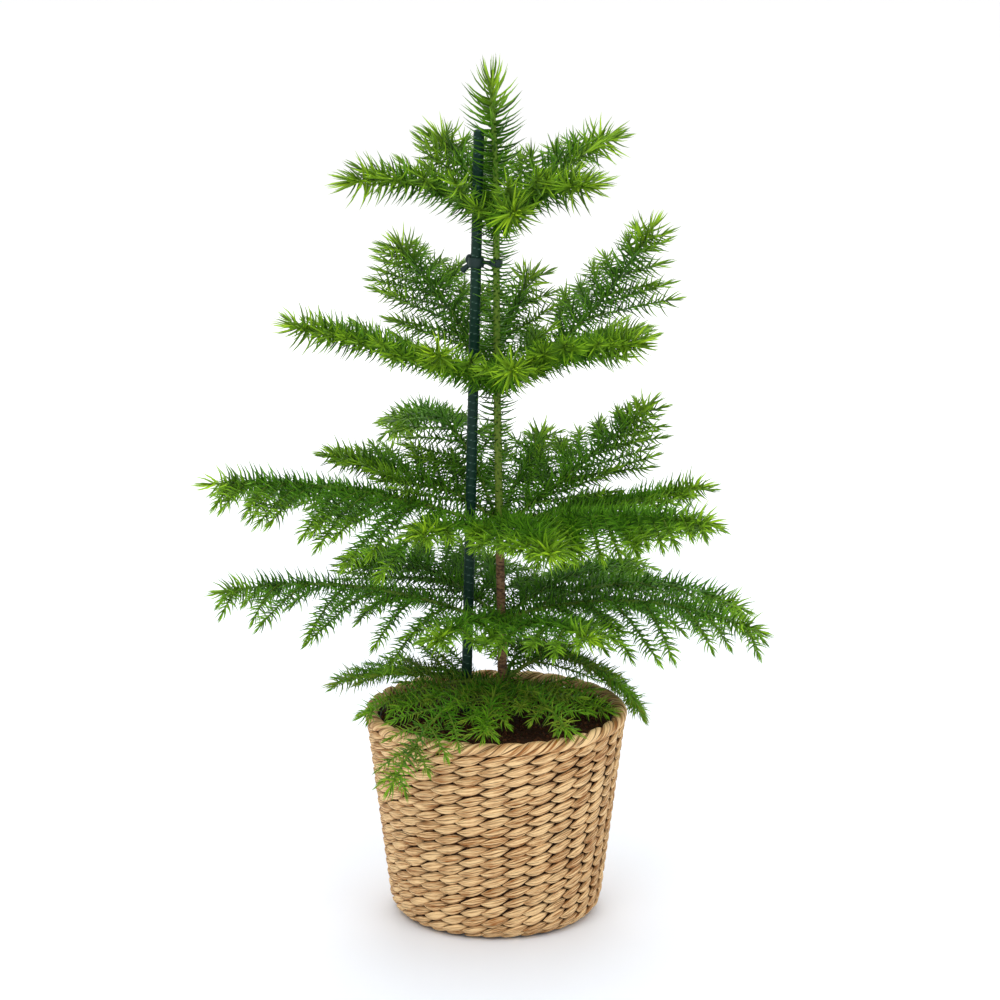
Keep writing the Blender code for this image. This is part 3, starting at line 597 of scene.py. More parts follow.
def needle_tree():
    """Clothes a skeleton: its edges become stems, with needles set on a golden spiral."""
    tree = Growth("Needle Spray", {
        "Needle Width": ("Float", 0.105),
        "Spacing": ("Float", 0.55 * MM),
        "Curl": ("Float", 0.16),
        "Tip Zone": ("Float", 9.0 * MM),
        "Tip Lean": ("Float", math.radians(17)),
        "Bends": ("Int", 3),
        "Stem Sides": ("Int", 6),
        "Seed": ("Int", SEED),
        "Needle Finish": ("Material", None),
        "Stem Finish": ("Material", None),
    })
    seed = tree.input("Seed")

    # "along" runs from 0 at a strand's foot to 1 at its tip, and "left" is the length left to the tip
    curves = tree.add("GeometryNodeMeshToCurve", None, {"Mesh": tree.input("Geometry")})
    spline = tree.add("GeometryNodeSplineParameter", None, None, "Factor")
    whole = tree.add("GeometryNodeSplineLength", None, None, "Length")
    curves = tree.store(curves, "along", spline)
    curves = tree.store(curves, "left", whole - spline.of("Length"))

    profile = tree.add("GeometryNodeCurvePrimitiveCircle", None,
                       {"Resolution": tree.input("Stem Sides"), "Radius": 1.0})
    stems = tree.add("GeometryNodeCurveToMesh", None, {
        "Curve": curves, "Profile Curve": profile, "Scale": tree.attribute("thickness"),
        "Fill Caps": True})
    stems = tree.finished(stems, tree.input("Stem Finish"))

    # A needle one unit long, which tapers slowly, comes to a point and bends forward
    blank = tree.add("GeometryNodeMeshCone", {"fill_type": "NGON"}, {
        "Vertices": 3, "Side Segments": tree.input("Bends"), "Fill Segments": 1,
        "Radius Top": 0.0, "Radius Bottom": 0.5, "Depth": 1.0}, "Mesh")
    x, y, z = tree.position()
    full = tree.input("Needle Width") * tree.math("MAXIMUM", 1.0 - z, 0.02) ** -0.5
    blank = tree.store(blank, "up", z)
    curl = tree.input("Curl")
    slim = tree.moved(blank, tree.vector(x * full - curl * z * z, y * full, z))

    # Each needle turns on from the last one, leans from its strand and folds forward at the tip
    points = tree.add("GeometryNodeCurveToPoints", {"mode": "LENGTH"},
                      {"Curve": curves, "Length": tree.input("Spacing")})
    tangent = points.of("Tangent")
    index = tree.add("GeometryNodeInputIndex")
    near_tip = tree.smooth(tree.attribute("left"), tree.input("Tip Zone"), 0.0)
    spread = tree.attribute("lean") + tree.random(-0.13, 0.13, seed)
    lean = spread + (tree.input("Tip Lean") - spread) * near_tip
    turn = index * GOLDEN_TURN + tree.random(-0.3, 0.3, seed + 1)
    turn = turn + tree.math("SINE", turn * 2.0) * tree.attribute("comb")
    size = tree.attribute("needle") * tree.random(0.86, 1.06, seed + 2) * (1.0 - near_tip * 0.2)
    toward = tree.add("FunctionNodeAlignRotationToVector", {"axis": "Z"}, {"Vector": tangent})
    toward = tree.add("FunctionNodeAlignRotationToVector", {"axis": "X", "pivot_axis": "Z"},
                      {"Rotation": toward, "Vector": tuple(UP)})
    for axis, angle in (((0, 0, 1), turn), ((0, 1, 0), lean)):
        step = tree.add("FunctionNodeAxisAngleToRotation", None, {"Axis": axis, "Angle": angle})
        toward = tree.add("FunctionNodeRotateRotation", {"rotation_space": "LOCAL"},
                          {"Rotation": toward, "Rotate By": step})

    # Needles whose tips would end in the rim or the soil are left out, with a small clearance
    reach = tree.add("FunctionNodeRotateVector", None, {
        "Vector": tree.vector(size * curl * -1.0, 0.0, size), "Rotation": toward})
    tip = tree.add("ShaderNodeVectorMath", {"operation": "ADD"},
                   {0: tree.add("GeometryNodeInputPosition"), 1: reach})
    px, py, pz = tree.parts(tip)
    out = tree.math("SQRT", px * px + py * py)
    above_rim = pz > RIM_HEIGHT + RIM_CREST + 0.5 * MM
    above_soil = (pz > SOIL_EDGE + 2.0 * MM) * (out < RIM_RADIUS - RIM_CREST - 1.0 * MM)
    outside = out > RIM_RADIUS + RIM_CREST + 0.6 * MM
    keep = above_rim + above_soil + outside

    points = tree.store(points, "tone", tree.random(0.0, 1.0, seed + 3))
    broad = 1.0 + tree.attribute("comb") * 0.3
    placed = tree.add("GeometryNodeInstanceOnPoints", None, {
        "Points": points, "Selection": keep, "Instance": slim, "Rotation": toward,
        "Scale": tree.vector(size * broad, size * broad, size)})
    real = tree.add("GeometryNodeRealizeInstances", None, {"Geometry": placed})
    needles = tree.add("GeometryNodeSetMaterial", None,
                       {"Geometry": real, "Material": tree.input("Needle Finish")})
    return tree.end(tree.joined(stems, needles))


def weave_tree():
    """Weaves stitches over a profile line that runs up the wall, in X and Z."""
    tree = Growth("Twined Weave", {
        "Ribs": ("Int", RIBS),
        "Rows": ("Int", ROWS),
        "Stitch Depth": ("Float", 3.0 * MM),
        "Seed": ("Int", SEED),
        "Finish": ("Material", None),
    })
    ribs, rows, depth = tree.input("Ribs"), tree.input("Rows"), tree.input("Stitch Depth")
    seed = tree.input("Seed")
    wall = tree.add("GeometryNodeMeshToCurve", None, {"Mesh": tree.input("Geometry")})

    # The blank's height, from -1 to 1, becomes the length of a flat stitch that lies along a row
    blank = tree.add("GeometryNodeMeshCylinder", {"fill_type": "NGON"}, {
        "Vertices": 8, "Side Segments": 8, "Fill Segments": 1, "Radius": 1.0, "Depth": 2.0}, "Mesh")
    side, face, t = tree.position()
    blank = tree.store(blank, "run", t)
    blank = tree.store(blank, "rise", side)
    blank = tree.store(blank, "face", face)
    swell = 1.0 - t * t * 0.985
    upper = swell * (1.0 + t * 0.3) * 0.38
    lower = swell * (1.0 - t * 0.22) * 0.615
    spine = 0.15 + t * 0.25
    belly = tree.math("MAXIMUM", side, 0.0) * upper + tree.math("MINIMUM", side, 0.0) * lower
    thick = swell ** 0.5 * (depth * 0.5)
    tuck = (0.5 - t * 0.5) ** 3.0 * (depth * 0.25) - (0.5 + t * 0.5) ** 3.0 * (depth * 0.55)
    flat = face * (1.35 - face * face * 0.35)
    stitch = tree.moved(blank, tree.vector(t * 0.695, spine + belly, tuck + depth * -0.5 + thick * flat))

    line = tree.add("GeometryNodeMeshLine", {"count_mode": "TOTAL"}, {"Count": ribs * rows})
    index = tree.add("GeometryNodeInputIndex")
    column = index % ribs
    row = tree.math("FLOOR", index / ribs)
    stray = [tree.random(-0.05, 0.05, seed + k) for k in range(2)]
    lattice = tree.moved(line, tree.vector(column + stray[0], row + 0.5 + stray[1], 0.0))
    lattice = tree.store(lattice, "tone", tree.random(0.0, 1.0, seed + 2))
    placed = tree.add("GeometryNodeInstanceOnPoints", None, {
        "Points": lattice, "Instance": stitch,
        "Scale": tree.vector(tree.random(0.97, 1.05, seed + 3), tree.random(0.92, 1.08, seed + 4),
                             tree.random(0.88, 1.1, seed + 5))})
    real = tree.add("GeometryNodeRealizeInstances", None, {"Geometry": placed})

    # The flat cloth of stitches is bent round the wall
    u, v, w = tree.position()
    sample = tree.add("GeometryNodeSampleCurve", {"mode": "FACTOR"},
                      {"Curves": wall, "Factor": tree.clamp(v / rows)}, "Position")
    radius, _, height = tree.parts(sample)
    out, _, up = tree.parts(sample.of("Tangent"))
    angle = u * TAU / ribs + FRONT
    reach = radius + up * w
    cloth = tree.moved(real, tree.around(reach, angle, height - out * w))
    return tree.end(tree.finished(cloth, tree.input("Finish")))


def rope_tree():
    """A rope ring of two strands: one body with two grooves, which wind a half turn for each rib."""
    tree = Growth("Twisted Rim", {
        "Ribs": ("Int", RIBS),
        "Ring Radius": ("Float", RIM_RADIUS),
        "Height": ("Float", RIM_HEIGHT),
        "Crest": ("Float", RIM_CREST),
        "Groove": ("Float", 1.9 * MM),
        "Finish": ("Material", None),
    })
    ring_radius, crest = tree.input("Ring Radius"), tree.input("Crest")
    ring = tree.add("GeometryNodeCurvePrimitiveCircle", None,
                    {"Resolution": 20 * RIBS, "Radius": ring_radius})
    profile = tree.add("GeometryNodeCurvePrimitiveCircle", None, {"Resolution": 32, "Radius": crest})
    tube = tree.add("GeometryNodeCurveToMesh", None, {"Curve": ring, "Profile Curve": profile})
    x, y, z = tree.position()
    azimuth = tree.math("ARCTAN2", y, x)
    away = tree.math("SQRT", x * x + y * y) - ring_radius
    around = tree.math("ARCTAN2", z, away)
    strand = around - (azimuth - FRONT) * tree.input("Ribs") * 0.5
    valley = 1.0 - tree.math("ABSOLUTE", tree.math("COSINE", strand))
    size = crest - tree.input("Groove") * valley * valley
    reach = ring_radius + size * tree.math("COSINE", around)
    rise = tree.input("Height") + size * tree.math("SINE", around)
    rope = tree.moved(tube, tree.around(reach, azimuth, rise))
    return tree.end(tree.finished(rope, tree.input("Finish")))


def crumb_tree():
    """Strews crumbs of soil over the upward faces of a body; each has its own size, shape and turn."""
    tree = Growth("Soil Crumbs", {
        "Density": ("Float", 160000.0),
        "Crumb": ("Float", 1.1 * MM),
        "Seed": ("Int", SEED),
        "Finish": ("Material", None),
    })
    soil = tree.input("Geometry")
    seed = tree.input("Seed")
    normal = tree.add("GeometryNodeInputNormal", None, None, "Normal")
    _, _, rising = tree.parts(normal)
    points = tree.add("GeometryNodeDistributePointsOnFaces", None, {
        "Mesh": soil, "Selection": rising > 0.6, "Density": tree.input("Density"), "Seed": seed}, "Points")
    crumb = tree.add("GeometryNodeMeshIcoSphere", None,
                     {"Radius": tree.input("Crumb"), "Subdivisions": 1}, "Mesh")
    turns = (tree.random(0.0, TAU, seed + k) for k in range(1, 4))
    turn = tree.add("FunctionNodeEulerToRotation", None, {"Euler": tree.vector(*turns)})
    size = tree.random(0.35, 1.5, seed + 4)
    shape = tree.vector(size, size * tree.random(0.5, 1.0, seed + 5),
                        size * tree.random(0.4, 0.9, seed + 6))
    points = tree.store(points, "tone", tree.random(0.0, 1.0, seed + 7))
    placed = tree.add("GeometryNodeInstanceOnPoints", None, {
        "Points": points, "Instance": crumb, "Rotation": turn, "Scale": shape})
    return tree.end(tree.finished(tree.joined(soil, placed), tree.input("Finish")))


def needle_finish(group, look):
    """Waxy green: darkest at the foot of a branch, for old needles and as painted shade, fresh at the
    tips, uneven from needle to needle.
    """
    finish = Finish(f"needles_{group}")
    greens = GREENS[group]
    tone, up, left, vigour, share = (
        finish.attribute(k) for k in ("tone", "up", "left", "vigour", "along"))
    youth = finish.smooth(left, 30.0 * MM, 2.0 * MM) * (0.4 + tone * 0.6) * vigour
    young = finish.clamp(youth * greens.fresh + up * tone * 0.30 * greens.fresh)
    # Old needles and painted shade: the darkest green grows towards the foot of the branch, where the
    # inside of the plant lies in shade.
    old = finish.smooth(share + tone * 0.25, 0.75, 0.0) * greens.deep
    patch = finish.noise(finish.place(), 45.0)
    withered = finish.smooth(patch + tone * 0.3, 0.68, 0.74) * greens.dry
    # Painted shade: each needle is darker towards its foot, close to its stem; light scales a whole group.
    value = (0.34 + tone * 0.72) * (0.6 + up * 0.58) * greens.light
    base = finish.mix(look.leaf, look.deep, finish.clamp(old + (patch - 0.5) * 0.9))
    base = finish.mix(base, look.fresh, young)
    base = finish.mix(base, look.dry, withered)
    base = finish.mix((0.0, 0.0, 0.0), base, value)
    return finish.surface(Base_Color=base, Roughness=0.46 + tone * 0.16, Specular_IOR_Level=0.18)


def shoot_finish(look, bark):
    """Green bark of young stems and twigs, with brown flecks and browner where it is old."""
    finish = Finish("green_shoot")
    fleck = finish.noise(finish.place(), 900.0, 3.0)
    old = finish.smooth(finish.attribute("along"), 0.9, 0.1)
    base = finish.mix(look.shoot, bark, finish.clamp(old * 0.2 + (fleck - 0.5) * 0.5))
    return finish.surface(Base_Color=base, Roughness=0.6, Specular_IOR_Level=0.2,
                          Normal=finish.bump(fleck, 0.3 * MM))


def straw(finish, look, run, rise, tone, folds, fibres, painted_shade):
    """Flat dried fibre: each stitch its own tone, with fold lines and fine fibres along it.

    Run and rise are the places along and across a stitch; the last mask says where shade is painted in, in
    the fold colour.
    """
    fibre = finish.noise(finish.vector(run * 0.8, rise * fibres, tone * 37.0), 1.0, 3.0, 0.6)
    sway = finish.noise(finish.vector(run * 0.9, rise * 0.7, tone * 91.0), 1.0, 1.0)
    across = rise * folds + tone * 7.3 + sway * 0.9
    line = finish.math("FLOOR", across)
    depth = finish.noise(finish.vector(run * 0.8, line * 3.7, tone * 17.0), 1.0, 1.0)
    fold = finish.smooth(finish.math("ABSOLUTE", across - line - 0.5), 0.14, 0.0)
    fold = fold * finish.smooth(depth, 0.34, 0.56)
    blotch = finish.noise(finish.place(), 55.0, 2.0)
    shade = finish.clamp((tone - 0.5) * 0.4 + (blotch - 0.5) * 0.6 + (fibre - 0.5) * 3.9 + 0.34)
    base = finish.mix(look.straw_light, look.straw_dark, shade)
    # The fold colour darkens the fold lines and paints shade where the last mask is set.
    base = finish.mix(base, look.fold, finish.math("MAXIMUM", fold * 0.8, painted_shade))
    return finish.surface(Base_Color=base, Roughness=0.62 + fibre * 0.2, Specular_IOR_Level=0.25,
                          Normal=finish.bump(fibre - fold, 0.5 * MM))


def weave_finish(look):
    """Straw of the stitches, with painted shade at a stitch's upper and lower edges and at the end that
    goes under the next one.
    """
    finish = Finish("woven_straw")
    tone, run, rise = (finish.attribute(k) for k in ("tone", "run", "rise"))
    # Painted shade: the edges and the tucked end of each stitch are darkened towards the fold colour.
    edge = finish.smooth(finish.math("ABSOLUTE", rise), 0.86, 1.02) * 0.5
    under = finish.smooth(run, 0.62, 1.0) * 0.6
    return straw(finish, look, run, rise, tone, 1.7, 3.4, finish.math("MAXIMUM", edge, under))


def rope_finish(look):
    """Straw of the rim, with its folds along the two strands and painted shade in the grooves between
    them.
    """
    finish = Finish("rim_straw")
    x, y, z = finish.parts(finish.place())
    azimuth = finish.math("ARCTAN2", y, x) / TAU
    away = finish.math("SQRT", x * x + y * y) - RIM_RADIUS
    around = finish.math("ARCTAN2", z - RIM_HEIGHT, away) / TAU
    strand = around - azimuth * (RIBS / 2)
    valley = 1.0 - finish.math("ABSOLUTE", finish.math("COSINE", strand * TAU))
    lay = finish.math("FLOOR", strand * 2.0 + 0.5) % RIBS
    tone = finish.add("ShaderNodeTexWhiteNoise", {"noise_dimensions": "1D"}, {"W": lay}, "Value")
    # Painted shade: the grooves between the strands are darkened towards the fold colour.
    groove_shade = finish.smooth(valley, 0.72, 1.0) * 0.95
    return straw(finish, look, azimuth * 30.0, strand, tone, 5.0, 11.0, groove_shade)


def rib_finish(look):
    """Ribs and the plain inside of the basket, in painted shadow, with a little dark straw in the grain.
    """
    finish = Finish("rib_shadow")
    grain = finish.noise(finish.place(), 500.0, 3.0)
    base = finish.mix(look.shadow, look.straw_dark, finish.clamp(grain * 0.5 - 0.1))
    return finish.surface(Base_Color=base, Roughness=0.85, Normal=finish.bump(grain, 0.4 * MM))


def soil_finish(look):
    """Damp soil, paler where it is dry, uneven from crumb to crumb."""
    finish = Finish("potting_soil")
    place = finish.place()
    coarse = finish.noise(place, 260.0, 4.0, 0.6)
    fine = finish.noise(place, 2600.0, 2.0)
    crumb = finish.attribute("tone")
    pale = finish.clamp((coarse - 0.48) * 3.0 + (crumb - 0.5) * 0.9)
    base = finish.mix(look.soil, look.soil_pale, pale)
    return finish.surface(Base_Color=base, Roughness=0.92, Specular_IOR_Level=0.15,
                          Normal=finish.bump(fine + coarse, 0.4 * MM))


def bark_finish(look):
    """Reddish bark with grey scales and dark cracks round the stem."""
    finish = Finish("woody_bark")
    x, y, z = finish.parts(finish.place())
    rings = finish.noise(finish.vector(x * 300.0, y * 300.0, z * 900.0), 1.0, 4.0, 0.6)
    scales = finish.noise(finish.place(), 700.0, 3.0)
    base = finish.mix(look.bark, look.crack, finish.smooth(rings, 0.42, 0.62))
    base = finish.mix(base, look.scale, finish.smooth(scales, 0.56, 0.7) * 0.6)
    return finish.surface(Base_Color=base, Roughness=0.85,
                          Normal=finish.bump(rings + scales * 0.5, 0.5 * MM))


def stake_finish(look):
    """Dark plastic coating, paler in broken lines along the crests of the helix."""
    finish = Finish("stake_coating")
    crest_breaks = finish.noise(finish.place(), 700.0, 2.0)
    crest = finish.attribute("crest") ** 2.0 * finish.smooth(crest_breaks, 0.3, 0.6)
    base = finish.mix(look.stake, look.ridge, crest * 0.65)
    return finish.surface(Base_Color=base, Roughness=0.4 + crest_breaks * 0.15, Specular_IOR_Level=0.2)


def moulded_finish(name, colour, roughness):
    """Soft moulded plastic with faint cloudiness."""
    finish = Finish(name)
    cloud = finish.noise(finish.place(), 300.0, 3.0)
    base = finish.mix(colour, tuple(min(1.0, c * 1.8 + 0.01) for c in colour), cloud)
    return finish.surface(Base_Color=base, Roughness=roughness + cloud * 0.12, Specular_IOR_Level=0.3,
                          Normal=finish.bump(cloud, 0.1 * MM, 0.4))


def wall_line():
    """Radius and height up the outside of the wall, with the foot rounded."""
    *foot, top = [(r, 0, z) for r, z in WALL_OUTSIDE]
    return np.vstack([smooth_line(foot, 4), [top]]) * MM


def wall_radius(z):
    return float(np.interp(z / MM, [h for _, h in WALL_OUTSIDE], [r for r, _ in WALL_OUTSIDE])) * MM


def inside_radius(z):
    """Radius of the basket's plain inside."""
    low, high = wall_radius(WALL_BEND), wall_radius(WALL_TOP)
    return low + (high - low) * (z - WALL_BEND) / (WALL_TOP - WALL_BEND) - WALL_THICKNESS


def turned(name, profile, material, sides, ripple=None):
    """A closed turned body from pairs of radius and height; the first and last lie on the axis.

    Ripple gives what is added to the radius at a step of the turn, a height and a radius.
    """
    points = []
    faces = []
    rings = []
    for radius, z in profile:
        if radius == 0:
            rings.append([len(points)] * sides)
            points.append((0.0, 0.0, z))
            continue
        rings.append(list(range(len(points), len(points) + sides)))
        for k in range(sides):
            a = k * TAU / sides + FRONT
            r = radius + (ripple(k, z, radius) if ripple else 0.0)
            points.append((r * math.cos(a), r * math.sin(a), z))
    for low, high in zip(rings, rings[1:]):
        for k in range(sides):
            n = (k + 1) % sides
            corners = (low[k], low[n], high[n], high[k])
            faces.append(tuple(dict.fromkeys(corners)))
    return solid(name, points, faces, material)


def basket_core(material):
    """The ribs and the wall behind the stitches."""
    profile = [(0.0, RIB_FOOT), (30 * MM, RIB_FOOT), (50 * MM, RIB_FOOT)]
    profile += [(r - RIB_INSET, max(z, RIB_FOOT)) for r, _, z in wall_line()[1:]]
    profile += [(inside_radius(z), z) for z in (WALL_TOP, FLOOR_THICKNESS)] + [(0.0, FLOOR_THICKNESS)]
    per_rib = 8

    def ribbed(k, z, radius):
        outside = radius > inside_radius(z) + 1 * MM and z > RIB_FOOT + 0.1 * MM
        return RIB_SWELL * math.cos(k * TAU / per_rib) if outside else 0.0

    return turned("basket_ribs", profile, material, RIBS * per_rib, ribbed)


def liner_cup(material):
    """The thin pot inside the basket, with a softened lip."""
    def outside(z):
        share = (z - LINER_FLOOR) / (LINER_TOP - LINER_FLOOR)
        return inside_radius(z) - GAP - LINER_TAPER * max(0.0, share)

    floor = LINER_FLOOR + LINER_WALL
    lip = 0.2 * MM
    brim = outside(LINER_TOP)
    profile = [(0.0, LINER_FLOOR), (outside(LINER_FLOOR), LINER_FLOOR), (brim, LINER_TOP - lip),
               (brim - lip, LINER_TOP), (brim - LINER_WALL + lip, LINER_TOP),
               (brim - LINER_WALL, LINER_TOP - lip), (outside(floor) - LINER_WALL, floor), (0.0, floor)]
    return turned("liner_cup", profile, material, 128)


def soil_body(material):
    """The root ball: a plain cup-shaped body with a lumpy top."""
    floor = LINER_FLOOR + LINER_WALL + GAP
    inset = GAP * 2 + LINER_WALL
    edge = inside_radius(SOIL_EDGE) - inset - LINER_TAPER
    rings = 44
    sides = 144
    points = [(0.0, 0.0, floor)]
    profile = [(inside_radius(floor) - inset, floor)]
    profile += [(edge * math.sqrt(1 - k / rings), SOIL_EDGE) for k in range(rings)]
    faces = []
    for radius, z in profile:
        for k in range(sides):
            a = k * TAU / sides
            x, y = radius * math.cos(a), radius * math.sin(a)
            points.append((x, y, z if z == floor or radius == edge else soil_height(x, y)))
    points.append((0.0, 0.0, soil_height(0.0, 0.0)))
    for k in range(sides):
        n = (k + 1) % sides
        faces.append((0, 1 + n, 1 + k))
        for ring in range(rings):
            low = 1 + ring * sides
            faces.append((low + k, low + n, low + sides + n, low + sides + k))
        last = 1 + rings * sides
        faces.append((last + k, last + n, len(points) - 1))
    return solid("soil_surface", points, faces, material)


def soil_height(x, y):
    """Lumps of two sizes, level with the solids' soil."""
    place = Vector((x, y, 0.0))
    coarse = noise.noise(place * 90.0)
    fine = noise.noise(place * 420.0)
    return SOIL_EDGE + (0.9 + 1.3 * coarse + 0.8 * fine) * MM


def ring_faces(rings, sides, loop=False):
    """Faces between rings of points that lie one after another in a list; a loop joins its ends."""
    faces = []
    for k in range(rings if loop else rings - 1):
        low, high = k * sides, (k + 1) % rings * sides
        for j in range(sides):
            n = (j + 1) % sides
            faces.append((low + j, low + n, high + n, high + j))
    return faces


def rod(name, line, radius_at, sides, material, marks=None):
    """A closed round rod along a line.

    From the place along it, from 0 to 1, and the turn round it, radius_at gives the radius and a
    value, which is kept as the attribute that marks names.
    """
    points = []
    values = []
    count = len(line)
    for k, centre in enumerate(line):
        heading = unit(line[min(k + 1, count - 1)] - line[max(k - 1, 0)])
        level = UP if abs(heading[2]) < 0.95 else [0.0, 1.0, 0.0]
        across = unit(np.cross(level, heading))
        over = np.cross(heading, across)
        for j in range(sides):
            a = j * TAU / sides
            radius, value = radius_at(k / (count - 1), a)
            points.append(centre + radius * (across * math.cos(a) + over * math.sin(a)))
            values.append(value)
    faces = ring_faces(count, sides)
    faces.append(tuple(range(sides))[::-1])
    faces.append(tuple(range((count - 1) * sides, count * sides)))
    piece = solid(name, points, faces, material)
    if marks:
        made = piece.data.attributes.new(marks, "FLOAT", "POINT")
        made.data.foreach_set("value", values)
    return piece


def woody_stem(material):
    """Bark with a flare at the soil, swellings at the tiers and old needle scars."""
    heights = np.linspace(BARK_FOOT, BARK_TOP, 260)
    line = [stem_at(z) for z in heights]
    tiers = [tier.height * MM for tier in TIERS.values()]

    def radius_at(share, a):
        z = BARK_FOOT + (BARK_TOP - BARK_FOOT) * share
        swell = sum(0.7 * MM * math.exp(-((z - t) / (4 * MM)) ** 2) for t in tiers)
        flare = 0.9 * MM * math.exp(-max(0.0, z - SOIL_EDGE) / (6 * MM))
        place = Vector((math.cos(a) * 1.6, math.sin(a) * 1.6, z / MM * 0.55))
        rough = 0.30 * MM * noise.noise(place) + 0.16 * MM * noise.noise(place * 3.1)
        scar = 0.12 * MM * max(0.0, math.sin(z / MM * 2.4 + 3 * a)) ** 3
        return stem_radius(z) + swell + flare + rough + scar, 0.0

    return rod("woody_bark", line, radius_at, 28, material)


def ridged_stake(material, pitch):
    """The stake's fine raised helix, with a rounded top."""
    long = np.linalg.norm(STAKE_TOP - STAKE_FOOT)
    count = int(long / (0.6 * MM))
    line = [STAKE_FOOT + (STAKE_TOP - STAKE_FOOT) * k / (count - 1) for k in range(count)]

    def radius_at(share, a):
        phase = (share * long / pitch + a / TAU) % 1.0
        crest = math.exp(-((phase - 0.5) / 0.06) ** 2)
        from_top = (1 - share) * long
        nose = math.sqrt(max(0.08, 1 - max(0.0, 1 - from_top / (1.2 * MM)) ** 2))
        return (STAKE_RADIUS + 0.25 * MM * crest) * nose, crest

    return rod("ridged_stake", line, radius_at, 18, material, "crest")


def tie_clip(material):
    """Band, loop, web, hook and tab, grown together by a fine remesh and smoothed."""
    run = STAKE_TOP - STAKE_FOOT
    stake = STAKE_FOOT + run * (CLIP_HEIGHT - STAKE_FOOT[2]) / run[2]
    stem = stem_at(CLIP_HEIGHT)
    way = unit((stem - stake) * [1, 1, 0])
    half = CLIP_BAND / 2
    stake_bore = STAKE_RADIUS + GAP
    stem_bore = stem_radius(CLIP_HEIGHT) + GAP
    parts = []

    def collar(centre, bore, tall):
        """A ring of rounded section."""
        points = []
        sides, section = 40, 10
        for a in (k * TAU / sides for k in range(sides)):
            for b in (j * TAU / section for j in range(section)):
                r = bore + CLIP_WALL / 2 + CLIP_WALL / 2 * math.cos(b)
                points.append(centre + [r * math.cos(a), r * math.sin(a), tall * math.sin(b)])
        parts.append((points, [face[::-1] for face in ring_faces(sides, section, loop=True)]))

    def strut(line, radii):
        """A round strut through points, with a radius at each."""
        piece = rod("strut", np.array(line), lambda s, a: (
            float(np.interp(s, np.linspace(0, 1, len(radii)), radii)), 0.0), 12, material)
        parts.append(([np.array(v.co) for v in piece.data.vertices],
                      [tuple(p.vertices) for p in piece.data.polygons]))
        bpy.data.objects.remove(piece)

    collar(stake, stake_bore, half)
    collar(stem, stem_bore, half * 0.8)
    strut([stake + way * stake_bore, stem - way * stem_bore], [1.3 * MM, 1.1 * MM])
    root = stake - way * stake_bore + UP * half * 0.7
    hook = [root + (way * out + UP * up) * MM
            for out, up in ((0.5, 1.5), (-1.4, 1.2), (-2.2, -1.0), (-1.2, -3.0), (0.0, -3.6))]
    strut(smooth_line(hook, 6), [0.8 * MM, 0.8 * MM])
    tab = stake - way * 2.0 * MM
    ends = [tab - (way * out + UP * down) * MM for out, down in ((3.2, 2.6), (6.2, 5.2))]
    strut([tab - UP * half * 0.4, *ends], [1.1 * MM, 1.5 * MM, 1.9 * MM])
    points = []
    faces = []
    for part_points, part_faces in parts:
        start = len(points)
        points += part_points
        faces += [tuple(start + i for i in face) for face in part_faces]
    clip = solid("moulded_clip", points, faces, material)
    remesh = clip.modifiers.new("fuse", "REMESH")
    remesh.mode = "VOXEL"
    remesh.voxel_size = 0.26 * MM
    remesh.use_smooth_shade = True
    relax = clip.modifiers.new("relax", "SMOOTH")
    relax.factor = 0.5
    relax.iterations = 4
    return settled(clip)


def dress_branch(name, tier, spec, order, tree, finishes, look, seed):
    """One branch with its twigs and needles."""
    draw = np.random.default_rng([look.seed, seed])
    line = branch_line(tier, spec, order)
    lines = [line]
    gaps = (spec.pairs - 1) * spec.infill
    for k in range(gaps + 1):
        share = TWIG_SPAN[0] + (TWIG_SPAN[1] - TWIG_SPAN[0]) * k / gaps
        for way in (1, -1):
            lines.append(twig_line(line, spec, share + draw.uniform(-0.025, 0.025), way, draw))
    values = {"thickness": [], "needle": [], "lean": [], "vigour": [], "comb": []}
    for number, part in enumerate(lines):
        strand = TWIG if number else MAIN
        s = np.linspace(0.0, 1.0, len(part))
        low, high = strand.radii
        values["thickness"].append(low + (high - low) * s)
        values["needle"].append(tier.needle * MM * strand.size * np.interp(s, GROWTH_AT, strand.growth))
        values["lean"].append(np.full(len(part), math.radians(strand.lean)))
        values["vigour"].append(np.full(len(part), strand.vigour))
        values["comb"].append(np.full(len(part), strand.comb))
    return grown(skeleton(name, lines, values), tree, {
        "Needle Width": look.needle_width * tier.width,
        "Spacing": look.needle_spacing * tier.spacing,
        "Curl": look.needle_curl,
        "Bends": tier.bends,
        "Seed": look.seed + 10 * seed,
        "Needle Finish": finishes[0],
        "Stem Finish": finishes[1],
    })


class PINE_OT_basket(bpy.types.Operator):
    """Weave the basket's wall and underside over its ribs"""
    bl_idname = "pine.basket"
    bl_label = "Basket"

    def execute(self, context):
        look = context.scene.pine_basket
        finish = weave_finish(look)
        tree = weave_tree()
        wall = skeleton("basket_weave", [wall_line()], {})
        grown(wall, tree, {"Stitch Depth": look.stitch_depth, "Finish": finish})
        worn(wall, "basket")
        spoke = np.array([(radius, 0.0, UNDERSIDE_LIFT) for radius in UNDERSIDE_SPAN])
        under = skeleton("basket_underside", [spoke], {})
        grown(under, tree, {"Ribs": UNDERSIDE_RIBS, "Rows": UNDERSIDE_ROWS,
                            "Stitch Depth": UNDERSIDE_STITCH, "Finish": finish})
        worn(under, "basket")
        worn(basket_core(rib_finish(look)), "basket")
        return {"FINISHED"}


